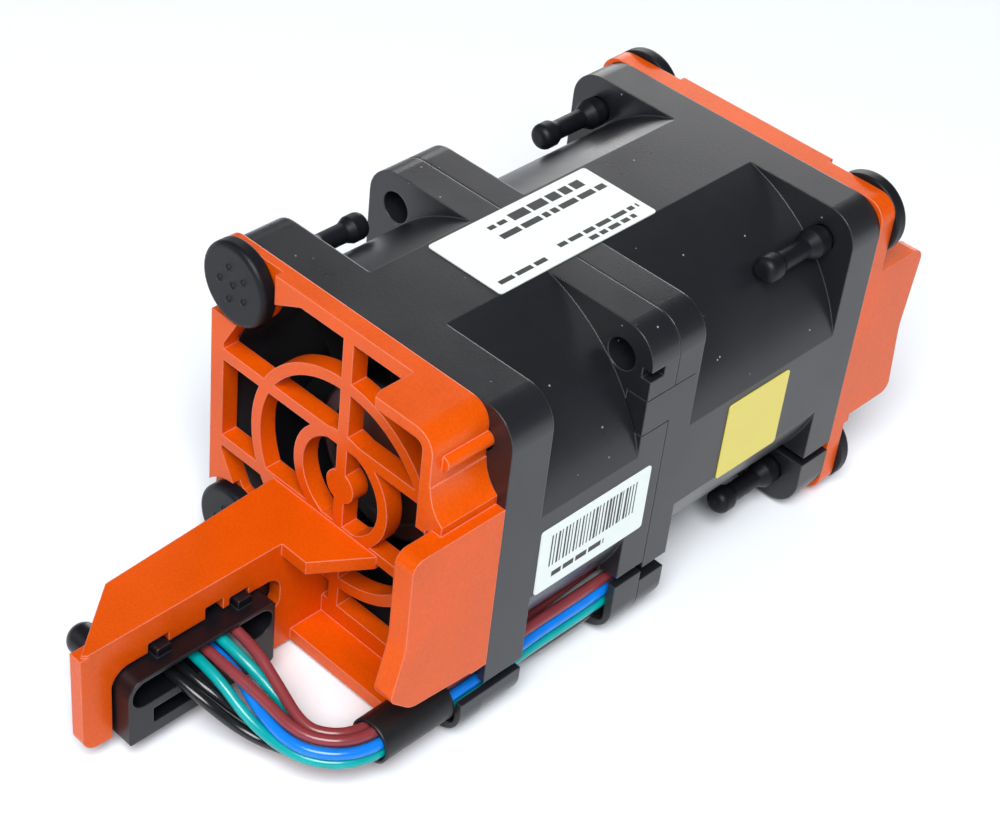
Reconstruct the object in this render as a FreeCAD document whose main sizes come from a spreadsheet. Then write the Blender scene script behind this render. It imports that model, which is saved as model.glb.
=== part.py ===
"""A 40 mm twin server fan module: two counter-rotating fans back to back in moulded frames, with a
finger guard and latch arm at the front, a guard at the rear, rubber isolators, a wire lead and a
blind-mate connector.  Millimetres.  The fans share one axis, along Y, with the air inlet at -Y."""
import FreeCAD
import Part
import math
import os
import re

Vector = FreeCAD.Vector
Turn = FreeCAD.Rotation
X_AXIS = Vector(1, 0, 0)
Y_AXIS = Vector(0, 1, 0)
Z_AXIS = Vector(0, 0, 1)

DOC = FreeCAD.newDocument("ServerFanModule")

# ---------------------------------------------------------------- driving dimensions
SIZES = [
    # the two fan frames
    ("fan_half", 20.0, "half the width of the square flanges"),
    ("module_len", 56.0, "front face of the front flange to rear face of the rear flange"),
    ("joint_y", 23.6, "plane where the two frames meet"),
    ("front_flange_t", 5.5, "front flange of the front frame"),
    ("mid_front_t", 4.1, "rear flange of the front frame"),
    ("mid_rear_t", 3.8, "front flange of the rear frame"),
    ("rear_flange_t", 4.7, "rear flange of the rear frame"),
    ("corner_round", 3.7, "outer corner radius of the flanges"),
    ("barrel_over", 0.7, "how far the round duct would stand beyond the flanges, were it not flattened"),
    ("barrel_rad", "fan_half + barrel_over", "outside of the duct between the flanges"),
    ("duct_wall", 2.1, "side of the flanges to the inside of the duct"),
    ("duct_rad", "fan_half - duct_wall", "inside of the duct"),
    ("mouth_wall", 0.7, "side of the flanges to the inside of the open mouth"),
    ("mouth_rad", "fan_half - mouth_wall", "inside of the duct at its open mouth"),
    ("mouth_len", 3.5, "length of the flared mouth"),
    ("hole_edge", 4.0, "corner holes to the sides of the flanges"),
    ("hole_half", "fan_half - hole_edge", "corner holes, half their pitch"),
    ("hole_rad", 1.6, "corner holes of the outer flanges"),
    ("mid_hole_rad", 1.8, "corner holes of the middle flanges"),
    ("seam", 0.12, "visible gap between the interlocking frames"),
    # wire pocket and hooks
    ("pocket_left", 14.7, "wire pockets, side towards the duct"),
    ("front_pocket_right", 19.2, "outer side of the front wire pocket"),
    ("mid_pocket_right", 19.0, "outer side of the middle wire pocket"),
    ("front_pocket_top", -12.4, "top of the front wire pocket"),
    ("mid_pocket_top", -11.9, "top of the middle wire pocket"),
    ("pocket_low", -18.6, "wire pockets, bottom"),
    ("hook_left", 13.7, "side of the front hook towards the duct"),
    ("front_gap_top", -13.7, "top of the front hook's side slot"),
    ("hook_gap", 1.4, "height of a hook's side slot"),
    ("mid_gap_top", -11.3, "top of the middle hooks' side slot"),
    ("rear_gap_top", -12.1, "top of the rear hook's side slot"),
    ("hook_reach", 3.0, "how far the front hook stands ahead of its flange"),
    ("hook_top", -13.4, "top of the front hook"),
    ("hook_step", 17.5, "outer side of the front hook's higher part"),
    ("hook_low_top", -14.2, "top of the front hook's outer part"),
    ("hook_round", 3.4, "outer corner radius of the front hook"),
    # the frames' interlock on the right side
    ("tongue_low", 8.1, "lower edge of the rear frame's tongue"),
    ("tongue_high", 12.4, "its upper edge"),
    ("tongue_in", 2.5, "its thickness"),
    ("key_low", 14.8, "lower edge of the small slot above the tongue"),
    ("key_high", 1.2, "height of the small slot"),
    ("key_deep", 1.2, "depth of the small slot"),
    ("key_long", 2.0, "length of the small slot"),
    # motors
    ("hub_rad", 9.3, "impeller hub and motor base"),
    ("hub_wall", 0.95, "wall of the impeller hub"),
    ("tip_gap", 0.5, "blade tips to the duct"),
    ("tip_rad", "duct_rad - tip_gap", "impeller blade tips"),
    ("blade_t", 0.9, "blade thickness at mid chord"),
    ("front_inset", 3.7, "closed face of the front impeller, behind the front frame's face"),
    ("front_hub_end", "joint_y - front_inset", "the same face, from the joint plane"),
    ("rear_inset", 4.1, "closed face of the rear impeller, ahead of the rear frame's face"),
    ("rear_hub_end", "module_len - joint_y - rear_inset", "the same face, from the joint plane"),
    ("hub_start", 3.5, "open edge of both impellers, from the joint plane"),
    ("base_t", 1.4, "floor of the motor base"),
    ("base_rim", 3.1, "height of the motor base's rim and of its struts"),
    ("base_wall", 0.7, "wall of the motor base's rim"),
    ("yoke_t", 0.6, "steel yoke cup"),
    ("yoke_gap", 0.05, "yoke inside the hub"),
    ("magnet_t", 0.9, "rotor magnet ring"),
    ("air_gap", 0.3, "magnet to stator"),
    ("core_rad_in", 4.3, "hub of the stator core"),
    ("tip_t", 0.7, "pole tips of the stator core"),
    ("pole_w", 1.4, "width of a stator pole"),
    ("coil_t", 0.95, "thickness of the windings round a pole"),
    ("coil_gap", 0.06, "windings to pole"),
    ("tube_rad", 3.6, "bearing tube, outside"),
    ("bearing_rad", 3.0, "ball bearing, outside"),
    ("bearing_len", 2.5, "ball bearing, length"),
    ("shaft_rad", 1.0, "rotor shaft"),
    ("running_gap", 0.04, "shaft in its bearings"),
    ("fit_gap", 0.03, "pressed and glued fits"),
    ("board_t", 0.8, "circuit board"),
    ("board_y", 1.6, "circuit board's lower face, from the joint plane"),
    ("strut_t", 1.5, "thickness of the motor struts"),
    # front guard
    ("guard_t", 2.1, "thickness of the front guard"),
    ("guard_round", 2.4, "outer corner radius of the guards"),
    ("bar_w", 1.9, "left edge bar of the guard"),
    ("top_bar_w", 1.7, "top edge bar of the guard"),
    ("low_bar_w", 3.9, "bottom edge bar of the guard"),
    ("right_bar", 15.5, "inner side of the guard's right edge bar"),
    ("ring_big", 12.8, "mean radius of the outer ring"),
    ("ring_small", 6.2, "mean radius of the inner ring"),
    ("ring_w", 1.35, "width of the rings"),
    ("boss_rad", 1.95, "centre boss"),
    ("rib_w", 1.4, "width of the straight ribs"),
    ("rib_high", 5.8, "height of the upper cross rib"),
    ("rib_low", -5.7, "height of the lower cross rib"),
    ("pad_rad", 4.5, "pad under an isolator's head"),
    ("pad_room", 5.4, "recess round an isolator's head"),
    ("pad_deep", 1.0, "depth of the isolator pads"),
    ("hood_left", 8.7, "left end of the hood"),
    ("hood_right", 16.8, "outer side of the hood's wall"),
    ("hood_t", 1.3, "wall of the hood"),
    ("hood_round", 2.3, "outer corner radius of the hood"),
    ("hood_deep", 7.3, "how far the hood stands forward"),
    ("scoop_rad", 4.6, "finger scoop between the hood and the grip"),
    ("bead_rad", 0.85, "half-round bead on the hood's wall"),
    ("bead_z", 16.3, "height of the bead"),
    ("grip_t", 2.4, "thickness of the grip tabs"),
    ("grip_top", 9.5, "top of the front grip"),
    ("grip_low", -11.0, "bottom of the front grip"),
    ("grip_deep", 11.9, "front grip's reach"),
    ("lip_deep", 6.4, "front edge of the bottom lip"),
    ("lip_t", 1.6, "bottom lip"),
    ("lip_right", 13.4, "right end of the lip and of the low bar"),
    # arm
    ("arm_root", -9.8, "left side of the arm's shelf where it leaves the guard"),
    ("arm_bend_x", -8.3, "left side where the slanted end begins"),
    ("arm_bend_y", -25.1, "how far out the slanted end begins"),
    ("web_deep", 8.1, "depth of the web between the arm and the hood"),
    ("web_left", 2.0, "front corner of the web"),
    ("web_right", 5.9, "where the web meets the guard"),
    ("arm_top", -5.4, "top of the arm"),
    ("arm_t", 1.6, "walls of the arm"),
    ("arm_right", -1.6, "outer face of the arm's side wall"),
    ("arm_reach", 33.3, "front end of the arm"),
    ("arm_low", -18.5, "lowest edge of the side wall's front end"),
    # connector
    ("plug_back", -10.8, "connector body, end towards the fan"),
    ("plug_front", -29.4, "connector body, front end"),
    ("plug_top", -10.0, "connector body, top"),
    ("plug_low", -18.3, "connector body, bottom"),
    ("plug_out", 2.3, "how far the body stands out of the arm's side wall"),
    ("plug_flange_t", 1.3, "flange behind the side wall"),
    ("plug_gap", 0.3, "body in the side wall's cut-out"),
    ("recess_deep", 2.6, "recess from which the wires leave the body"),
    ("post_rad", 1.8, "guide posts"),
    ("post_len", 7.2, "guide posts, length behind the side wall"),
    ("post_z", -12.0, "height of the guide posts"),
    ("contact_w", 0.6, "contact blades"),
    # isolators
    ("head_rad", 4.7, "isolator head"),
    ("head_t", 1.8, "isolator head, thickness"),
    ("head_round", 0.6, "rounding of the isolator head"),
    ("dot_rad", 0.42, "raised dots on the isolator head"),
    ("dot_circle", 2.0, "circle of the raised dots"),
    ("stem_rad", 1.3, "isolator stem through the flange"),
    ("bulb_rad", 1.7, "bulb behind the flange"),
    ("tail_rad", 1.1, "pull tail"),
    ("ball_rad", 1.5, "knob at the end of the pull tail"),
    ("tail_end", 14.8, "end of the tail, from the flange's outer face"),
    # rear guard
    ("rear_guard_t", 3.0, "thickness of the rear guard"),
    ("rear_pad_deep", 0.7, "depth of the rear guard's pads"),
    ("rear_grip_top", 10.6, "top of the rear grip"),
    ("rear_grip_low", -9.6, "bottom of the rear grip"),
    ("rear_grip_end", 10.3, "rear grip's reach behind the rear flange"),
    # lead
    ("wire_rad", 0.6, "one wire with its insulation"),
    ("bundle_x", 17.0, "middle of the sleeve, across"),
    ("bundle_z", -15.75, "middle of the sleeve, height"),
    ("bundle_rad", 1.45, "circle on which the outer wires lie in the sleeve"),
    ("sleeve_rad", 2.55, "heat-shrink sleeve, outside"),
    ("sleeve_wall", 0.35, "heat-shrink sleeve, wall"),
    ("sleeve_front", -12.6, "front end of the sleeve"),
    ("sleeve_back", -3.4, "rear end of the sleeve"),
    ("mouth_run", 4.5, "first straight run of each wire, out of the recess"),
    ("loop_rad", 6.2, "bend of the lead's loop, at the sleeve's axis"),
    ("loop_end", -11.9, "where the loop meets the sleeve"),
    ("lead_enter", 2.4, "where the wires begin to part in the front flange's pocket"),
    ("lead_duct", 8.6, "where they lie in the open channel beside the duct"),
    ("lead_turn", 16.5, "where they gather for the middle flange's pocket"),
    # stickers
    ("sticker_t", 0.12, "thickness of a sticker"),
    ("sticker_round", 0.4, "corner radius of a sticker"),
    ("rating_left", -4.9, "rating sticker on the top, left edge"),
    ("rating_right", 5.4, "its right edge"),
    ("rating_start", 12.9, "its front edge"),
    ("rating_len", 23.1, "its length"),
    ("code_low", -5.3, "code sticker on the side, lower edge"),
    ("code_high", 3.1, "its upper edge"),
    ("code_start", 5.9, "its front edge"),
    ("code_len", 16.1, "its length"),
    ("notice_low", -5.6, "square sticker on the side, lower edge"),
    ("notice_side", 10.0, "its side"),
    ("notice_back", 11.9, "its rear edge to the module's rear face"),
]

SHEET = DOC.addObject("Spreadsheet::Sheet", "Sizes")
P = {}
for row, (alias, value, note) in enumerate(SIZES, 1):
    SHEET.set("A%d" % row, alias)
    SHEET.set("B%d" % row, "=" + value if isinstance(value, str) else str(value))
    SHEET.setAlias("B%d" % row, alias)
    SHEET.set("C%d" % row, note)
DOC.recompute()
for alias, _value, _note in SIZES:
    P[alias] = float(SHEET.get(alias))


# ---------------------------------------------------------------- building blocks
def bind(thing, prop, formula):
    """Ties a property to a formula in the sheet's names."""
    thing.setExpression(prop, re.sub(r"[a-z]\w*", lambda word: "Sizes." + word.group(), formula))


def place(thing, at, turn=None):
    """Puts a thing at a point given by three formulas."""
    thing.Placement = FreeCAD.Placement(Vector(0, 0, 0), turn or Turn())
    for axis, formula in zip("xyz", at):
        if formula != "0":
            bind(thing, "Placement.Base." + axis, formula)
    return thing


def box(name, low, span):
    thing = DOC.addObject("Part::Box", name)
    for prop, formula in zip(("Length", "Width", "Height"), span):
        bind(thing, prop, formula)
    return place(thing, low)


ALONG = {"x": Turn(Y_AXIS, 90), "y": Turn(X_AXIS, -90), "z": Turn()}


def rod(name, foot, radius, length, along="y"):
    thing = DOC.addObject("Part::Cylinder", name)
    bind(thing, "Radius", radius)
    bind(thing, "Height", length)
    return place(thing, foot, ALONG[along])


def outline(name, points, turn):
    """A sketch of straight sides, with an arc at each corner given as (u, v, radius)."""
    sketch = DOC.addObject("Sketcher::SketchObject", name)
    starts = []
    ends = []
    arcs = []
    for k, point in enumerate(points):
        corner = Vector(point[0], point[1], 0)
        radius = point[2] if len(point) > 2 else 0
        before = Vector(points[k - 1][0], points[k - 1][1], 0) - corner
        after = Vector(points[(k + 1) % len(points)][0], points[(k + 1) % len(points)][1], 0) - corner
        if not radius:
            starts.append(corner)
            ends.append(corner)
            continue
        before.normalize()
        after.normalize()
        half = before.getAngle(after) / 2
        back = radius / math.tan(half)
        middle = (before + after).normalize()
        mid = corner + middle * (radius / math.sin(half) - radius)
        starts.append(corner + before * back)
        ends.append(corner + after * back)
        arcs.append(Part.Arc(corner + before * back, mid, corner + after * back))
    for k in range(len(points)):
        following = starts[(k + 1) % len(points)]
        if ends[k].distanceToPoint(following) > 1e-6:
            sketch.addGeometry(Part.LineSegment(ends[k], following))
    for arc in arcs:
        sketch.addGeometry(arc)
    sketch.Placement = FreeCAD.Placement(Vector(0, 0, 0), turn)
    return sketch


SKETCH_TURN = {"x": Turn(Vector(1, 1, 1), 120), "y": Turn(X_AXIS, 90), "z": Turn()}
DIRECTION = {"x": X_AXIS, "y": Y_AXIS, "z": Z_AXIS}


def prism(name, along, points, start, length):
    """An outline pushed along an axis.  Its points are (y, z) along x, (x, z) along y, (x, y) along z."""
    sketch = outline(name + "_outline", points, SKETCH_TURN[along])
    bind(sketch, "Placement.Base." + along, start)
    thing = DOC.addObject("Part::Extrusion", name)
    thing.Base = sketch
    thing.DirMode = "Custom"
    thing.Dir = DIRECTION[along]
    bind(thing, "LengthFwd", length)
    thing.Solid = True
    return thing


def turned(name, points):
    """An outline in (radius, y) turned about the Y axis."""
    thing = DOC.addObject("Part::Revolution", name)
    thing.Source = outline(name + "_outline", points, Turn())
    thing.Axis = Y_AXIS
    thing.Base = Vector(0, 0, 0)
    thing.Angle = 360
    thing.Solid = True
    return thing


def fuse(name, things):
    thing = DOC.addObject("Part::MultiFuse", name)
    thing.Shapes = things
    thing.Refine = True
    return thing


def cut(name, base, tools):
    thing = DOC.addObject("Part::Cut", name)
    thing.Base = base
    thing.Tool = tools[0] if len(tools) == 1 else fuse(name + "_tools", tools)
    thing.Refine = True
    return thing


def common(name, things):
    thing = DOC.addObject("Part::MultiCommon", name)
    thing.Shapes = things
    thing.Refine = True
    return thing


def group(name, things):
    thing = DOC.addObject("Part::Compound", name)
    thing.Links = things
    return thing


def shape(name, solid):
    """A Part::Feature for a form that no primitive gives."""
    thing = DOC.addObject("Part::Feature", name)
    thing.Shape = solid
    return thing


def spun(thing, degrees, centre=Vector(0, 0, 0)):
    """Turns a thing about the fan axis."""
    thing.Placement = FreeCAD.Placement(centre, Turn(Y_AXIS, degrees)).multiply(thing.Placement)
    return thing


NODES = []


def node(thing, label, at_y="0", reverse=False):
    """Names a finished sub-part and puts it in the module's own frame, whose origin is the middle of the
    module's length, at the height of the isolators' rims."""
    thing.Label = label
    turn = Turn(Z_AXIS, 180) if reverse else Turn()
    middle = "(module_len + rear_grip_end - arm_reach) / 2"
    place(thing, ("0", at_y + " - " + middle, "head_rad + hole_half"), turn)
    NODES.append(thing)
    return thing


def square(half, radius):
    return [(-half, -half, radius), (half, -half, radius), (half, half, radius), (-half, half, radius)]


def oblong(left, low, right, top, radius=0):
    return [(left, low, radius), (right, low, radius), (right, top, radius), (left, top, radius)]


def ring_profile(inner, outer, low, high):
    return [(inner, low), (outer, low), (outer, high), (inner, high)]


CORNERS = [(-1, -1), (1, -1), (1, 1), (-1, 1)]


def sign(value, formula):
    return formula if value > 0 else "0 - " + formula


# ---------------------------------------------------------------- fan frames
def struts(name, count, base_y, toward, depth, first, lean):
    """Curved struts from the motor base to the duct, each an arc-shaped strip."""
    things = []
    inner = P["hub_rad"] - P["base_wall"] / 2
    outer = P["duct_rad"] + 0.4
    half = P["strut_t"] / 2
    low = min(base_y, base_y + toward * depth)
    for k in range(count):
        angle = math.radians(first + 360.0 * k / count)
        line = [(inner, angle), ((inner + outer) / 2, angle + lean * 0.6), (outer, angle + lean)]
        left = []
        right = []
        for radius, bearing in line:
            side = half / radius
            left.append(Vector(radius * math.cos(bearing + side), low, radius * math.sin(bearing + side)))
            right.append(Vector(radius * math.cos(bearing - side), low, radius * math.sin(bearing - side)))
        edges = [
            Part.Arc(left[0], left[1], left[2]).toShape(),
            Part.makeLine(left[2], right[2]),
            Part.Arc(right[2], right[1], right[0]).toShape(),
            Part.makeLine(right[0], left[0]),
        ]
        face = Part.Face(Part.Wire(edges))
        things.append(shape("%s_strut_%d" % (name, k), face.extrude(Vector(0, depth, 0))))
    return things


def motor_base(name, toward):
    """Floor and rim that hold the circuit board and the bearing tube."""
    joint = P["joint_y"] + toward * P["seam"] / 2
    reach = joint + toward * P["base_rim"]
    floor = joint + toward * P["base_t"]
    hub = P["hub_rad"]
    rim = hub - P["base_wall"]
    bore = P["tube_rad"] + P["fit_gap"]
    return turned(name + "_base",
                  [(bore, joint), (hub, joint), (hub, reach), (rim, reach), (rim, floor), (bore, floor)])


def duct_tool(name, mouth_y, far_y):
    """The air path: a flared mouth at one end and a plain bore to the other."""
    inward = 1 if far_y > mouth_y else -1
    lip = mouth_y + inward * P["mouth_len"]
    start = mouth_y - inward * 0.5
    end = far_y + inward * 0.5
    return turned(name + "_duct",
                  [(0, start), (P["mouth_rad"], start), (P["mouth_rad"], mouth_y),
                   (P["duct_rad"], lip, 3.0), (P["duct_rad"], end), (0, end)])


def wire_pocket(name, start, length, where):
    """A pocket at the lower right corner for the lead, with a side slot through which it clips in."""
    right = where + "_pocket_right"
    pocket = prism("%s_%s_pocket" % (name, where), "y",
                   oblong(P["pocket_left"], P["pocket_low"], P[right], P[where + "_pocket_top"], 1.2),
                   start, length)
    slot = box("%s_%s_slot" % (name, where), (right + " - 1.5", start, where + "_gap_top - hook_gap"),
               ("fan_half - %s + 3" % right, length, "hook_gap"))
    return [pocket, slot]


def flange(name, start, thickness):
    return prism(name, "y", square(P["fan_half"], P["corner_round"]), start, thickness)


def corner_holes(name, start, length, radius, corners):
    return [rod("%s_hole_%d" % (name, k), (sign(a, "hole_half"), start, sign(b, "hole_half")),
                radius, length)
            for k, (a, b) in enumerate(corners)]


def barrel(name, start, length):
    tube = rod(name + "_tube", ("0", start, "0"), "barrel_rad", length)
    flats = box(name + "_flats", ("0 - fan_half", start, "0 - fan_half"),
                ("2 * fan_half", length, "2 * fan_half"))
    return common(name, [tube, flats])


def front_frame():
    joint = P["joint_y"]
    body = fuse("front_frame_body", [
        flange("front_frame_flange", "0", "front_flange_t"),
        barrel("front_frame_barrel", "front_flange_t - 0.2",
               "joint_y - front_flange_t - mid_front_t + 0.4"),
        flange("front_frame_mid", "joint_y - mid_front_t", "mid_front_t - seam / 2"),
        # the front hook stands ahead of the flange and carries the lead
        prism("front_frame_hook", "y",
              [(P["hook_left"], -P["fan_half"]), (P["fan_half"], -P["fan_half"], P["hook_round"]),
               (P["fan_half"], P["hook_low_top"]), (P["hook_step"], P["hook_low_top"]),
               (P["hook_step"], P["hook_top"]), (P["hook_left"], P["hook_top"])],
              "0 - hook_reach", "hook_reach + 0.2"),
    ])
    tools = [duct_tool("front_frame", 0, joint)]
    tools += corner_holes("front_frame", "0 - 1", "front_flange_t + 2", "hole_rad",
                          [(-1, -1), (1, 1), (-1, 1)])
    tools += corner_holes("front_frame_mid", "joint_y - mid_front_t - 1", "mid_front_t + 2",
                          "mid_hole_rad", [(-1, -1), (1, 1), (-1, 1)])
    tools += wire_pocket("front_frame", "0 - hook_reach - 1", "hook_reach + front_flange_t + 2", "front")
    tools += wire_pocket("front_frame", "joint_y - mid_front_t - 1", "mid_front_t + 2", "mid")
    # the rear frame's tongue reaches into this notch, and a small slot lies above it
    tools.append(box("front_frame_notch",
                     ("fan_half - tongue_in - seam", "joint_y - mid_front_t - 0.1", "tongue_low - seam"),
                     ("tongue_in + 1", "mid_front_t + 1", "tongue_high - tongue_low + 2 * seam")))
    tools.append(box("front_frame_key", ("fan_half - key_deep", "joint_y - mid_front_t - 0.1", "key_low"),
                     ("key_deep + 1", "key_long + 0.1", "key_high")))
    tools.append(box("front_frame_step", ("0 - fan_half - 1", "joint_y - mid_front_t / 2", "9.4"),
                     ("2.2", "mid_front_t", "2.6")))
    shell = cut("front_frame_shell", body, tools)
    inside = struts("front_frame", 5, joint - P["seam"] / 2, -1, P["base_rim"], 40, 0.42)
    return node(fuse("front_frame_all", [shell, motor_base("front_frame", -1)] + inside), "front_fan_frame")


def rear_frame():
    joint = P["joint_y"]
    end = P["module_len"]
    body = fuse("rear_frame_body", [
        flange("rear_frame_flange", "module_len - rear_flange_t", "rear_flange_t"),
        barrel("rear_frame_barrel", "joint_y + mid_rear_t - 0.2",
               "module_len - joint_y - rear_flange_t - mid_rear_t + 0.4"),
        flange("rear_frame_mid", "joint_y + seam / 2", "mid_rear_t - seam / 2"),
        box("rear_frame_tongue", ("fan_half - tongue_in", "joint_y - mid_front_t", "tongue_low"),
            ("tongue_in", "mid_front_t + 1", "tongue_high - tongue_low")),
    ])
    tools = [duct_tool("rear_frame", end, joint)]
    tools += corner_holes("rear_frame", "module_len - rear_flange_t - 1", "rear_flange_t + 2", "hole_rad",
                          CORNERS)
    tools += corner_holes("rear_frame_mid", "joint_y - 1", "mid_rear_t + 2", "mid_hole_rad",
                          [(-1, -1), (1, 1), (-1, 1)])
    # the middle and rear flanges keep the lead's side slots, which end blind here
    tools.append(box("rear_frame_mid_slot", ("fan_half - 3.4", "joint_y - 1", "mid_gap_top - 2.8"),
                     ("4", "mid_rear_t + 2", "1.9")))
    tools.append(box("rear_frame_rear_slot", ("hole_half", "module_len - rear_flange_t - 1",
                                              "rear_gap_top - 1.2"),
                     ("5", "rear_flange_t + 2", "1.2")))
    # the line that carries on from the tongue's upper edge
    tools.append(box("rear_frame_seam", ("fan_half - 3 * seam", "joint_y - 0.1", "tongue_high"),
                     ("1", "mid_rear_t - 0.5", "seam")))
    shell = cut("rear_frame_shell", body, tools)
    inside = struts("rear_frame", 6, joint + P["seam"] / 2, 1, P["base_rim"], 15, -0.34)
    return node(fuse("rear_frame_all", [shell, motor_base("rear_frame", 1)] + inside), "rear_fan_frame")


# ---------------------------------------------------------------- motors and impellers
def blade(name, hub_end, handed, sweep):
    """One twisted, cambered blade, lofted through sections at the root, the middle and the tip."""
    root = P["hub_rad"] - P["hub_wall"] + 0.1
    tip = P["tip_rad"] + 0.6
    low = P["hub_start"] + 0.9
    high = hub_end - 1.6
    wires = []
    for share, width, thick in ((0.0, 3.1, 1.15), (0.5, 4.6, 1.0), (1.0, 5.9, 0.8)):
        radius = root + (tip - root) * share
        lead = Vector(radius, high - 0.8 * share, handed * (-width + sweep * share))
        trail = Vector(radius, low + 0.5 * share, handed * (width + sweep * share))
        chord = trail - lead
        across = Vector(0, -chord.z, chord.y).normalize() * handed
        middle = (lead + trail) / 2 + across * 0.13 * chord.Length
        half = P["blade_t"] * thick / 2
        nose = across * half * 0.45
        edges = [
            Part.Arc(lead + nose, middle + across * half, trail + nose).toShape(),
            Part.makeLine(trail + nose, trail - nose),
            Part.Arc(trail - nose, middle - across * half, lead - nose).toShape(),
            Part.makeLine(lead - nose, lead + nose),
        ]
        wires.append(Part.Wire(edges))
    return Part.makeLoft(wires, True, False)


def impeller(prefix, hub_end_name, count, handed, sweep, reverse):
    hub_end = P[hub_end_name]
    hub = P["hub_rad"]
    start = P["hub_start"]
    floor = hub_end - 1.4
    solid = turned(prefix + "_hub", [(0, start), (hub, start), (hub, hub_end, 0.9), (0, hub_end)])
    first = blade(prefix + "_blade", hub_end, handed, sweep)
    blades = []
    for k in range(count):
        copy = first.copy()
        copy.rotate(Vector(0, 0, 0), Y_AXIS, 360.0 * k / count)
        blades.append(shape("%s_blade_%d" % (prefix, k), copy))
    swept = common(prefix + "_blades", [
        fuse(prefix + "_blades_all", blades),
        rod(prefix + "_tip_circle", ("0", "0", "0"), "tip_rad", hub_end_name),
    ])
    cavity = turned(prefix + "_cavity", [
        (0, start - 1), (hub - P["hub_wall"], start - 1), (hub - P["hub_wall"], floor), (2.4, floor),
        (2.4, hub_end - 2.6), (P["shaft_rad"] + P["fit_gap"], hub_end - 2.6),
        (P["shaft_rad"] + P["fit_gap"], hub_end - 0.9), (0, hub_end - 0.9),
    ])
    # shallow dished face and balancing ring of the closed end
    dish = turned(prefix + "_dish", [
        (0, hub_end - 0.25), (hub - 2.2, hub_end - 0.25, 0.2),
        (hub - 1.8, hub_end + 0.3), (0, hub_end + 0.3),
    ])
    whole = cut(prefix + "_impeller_body", fuse(prefix + "_impeller_all", [solid, swept]), [cavity, dish])
    return node(whole, prefix + "_impeller", "joint_y", reverse)


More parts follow.
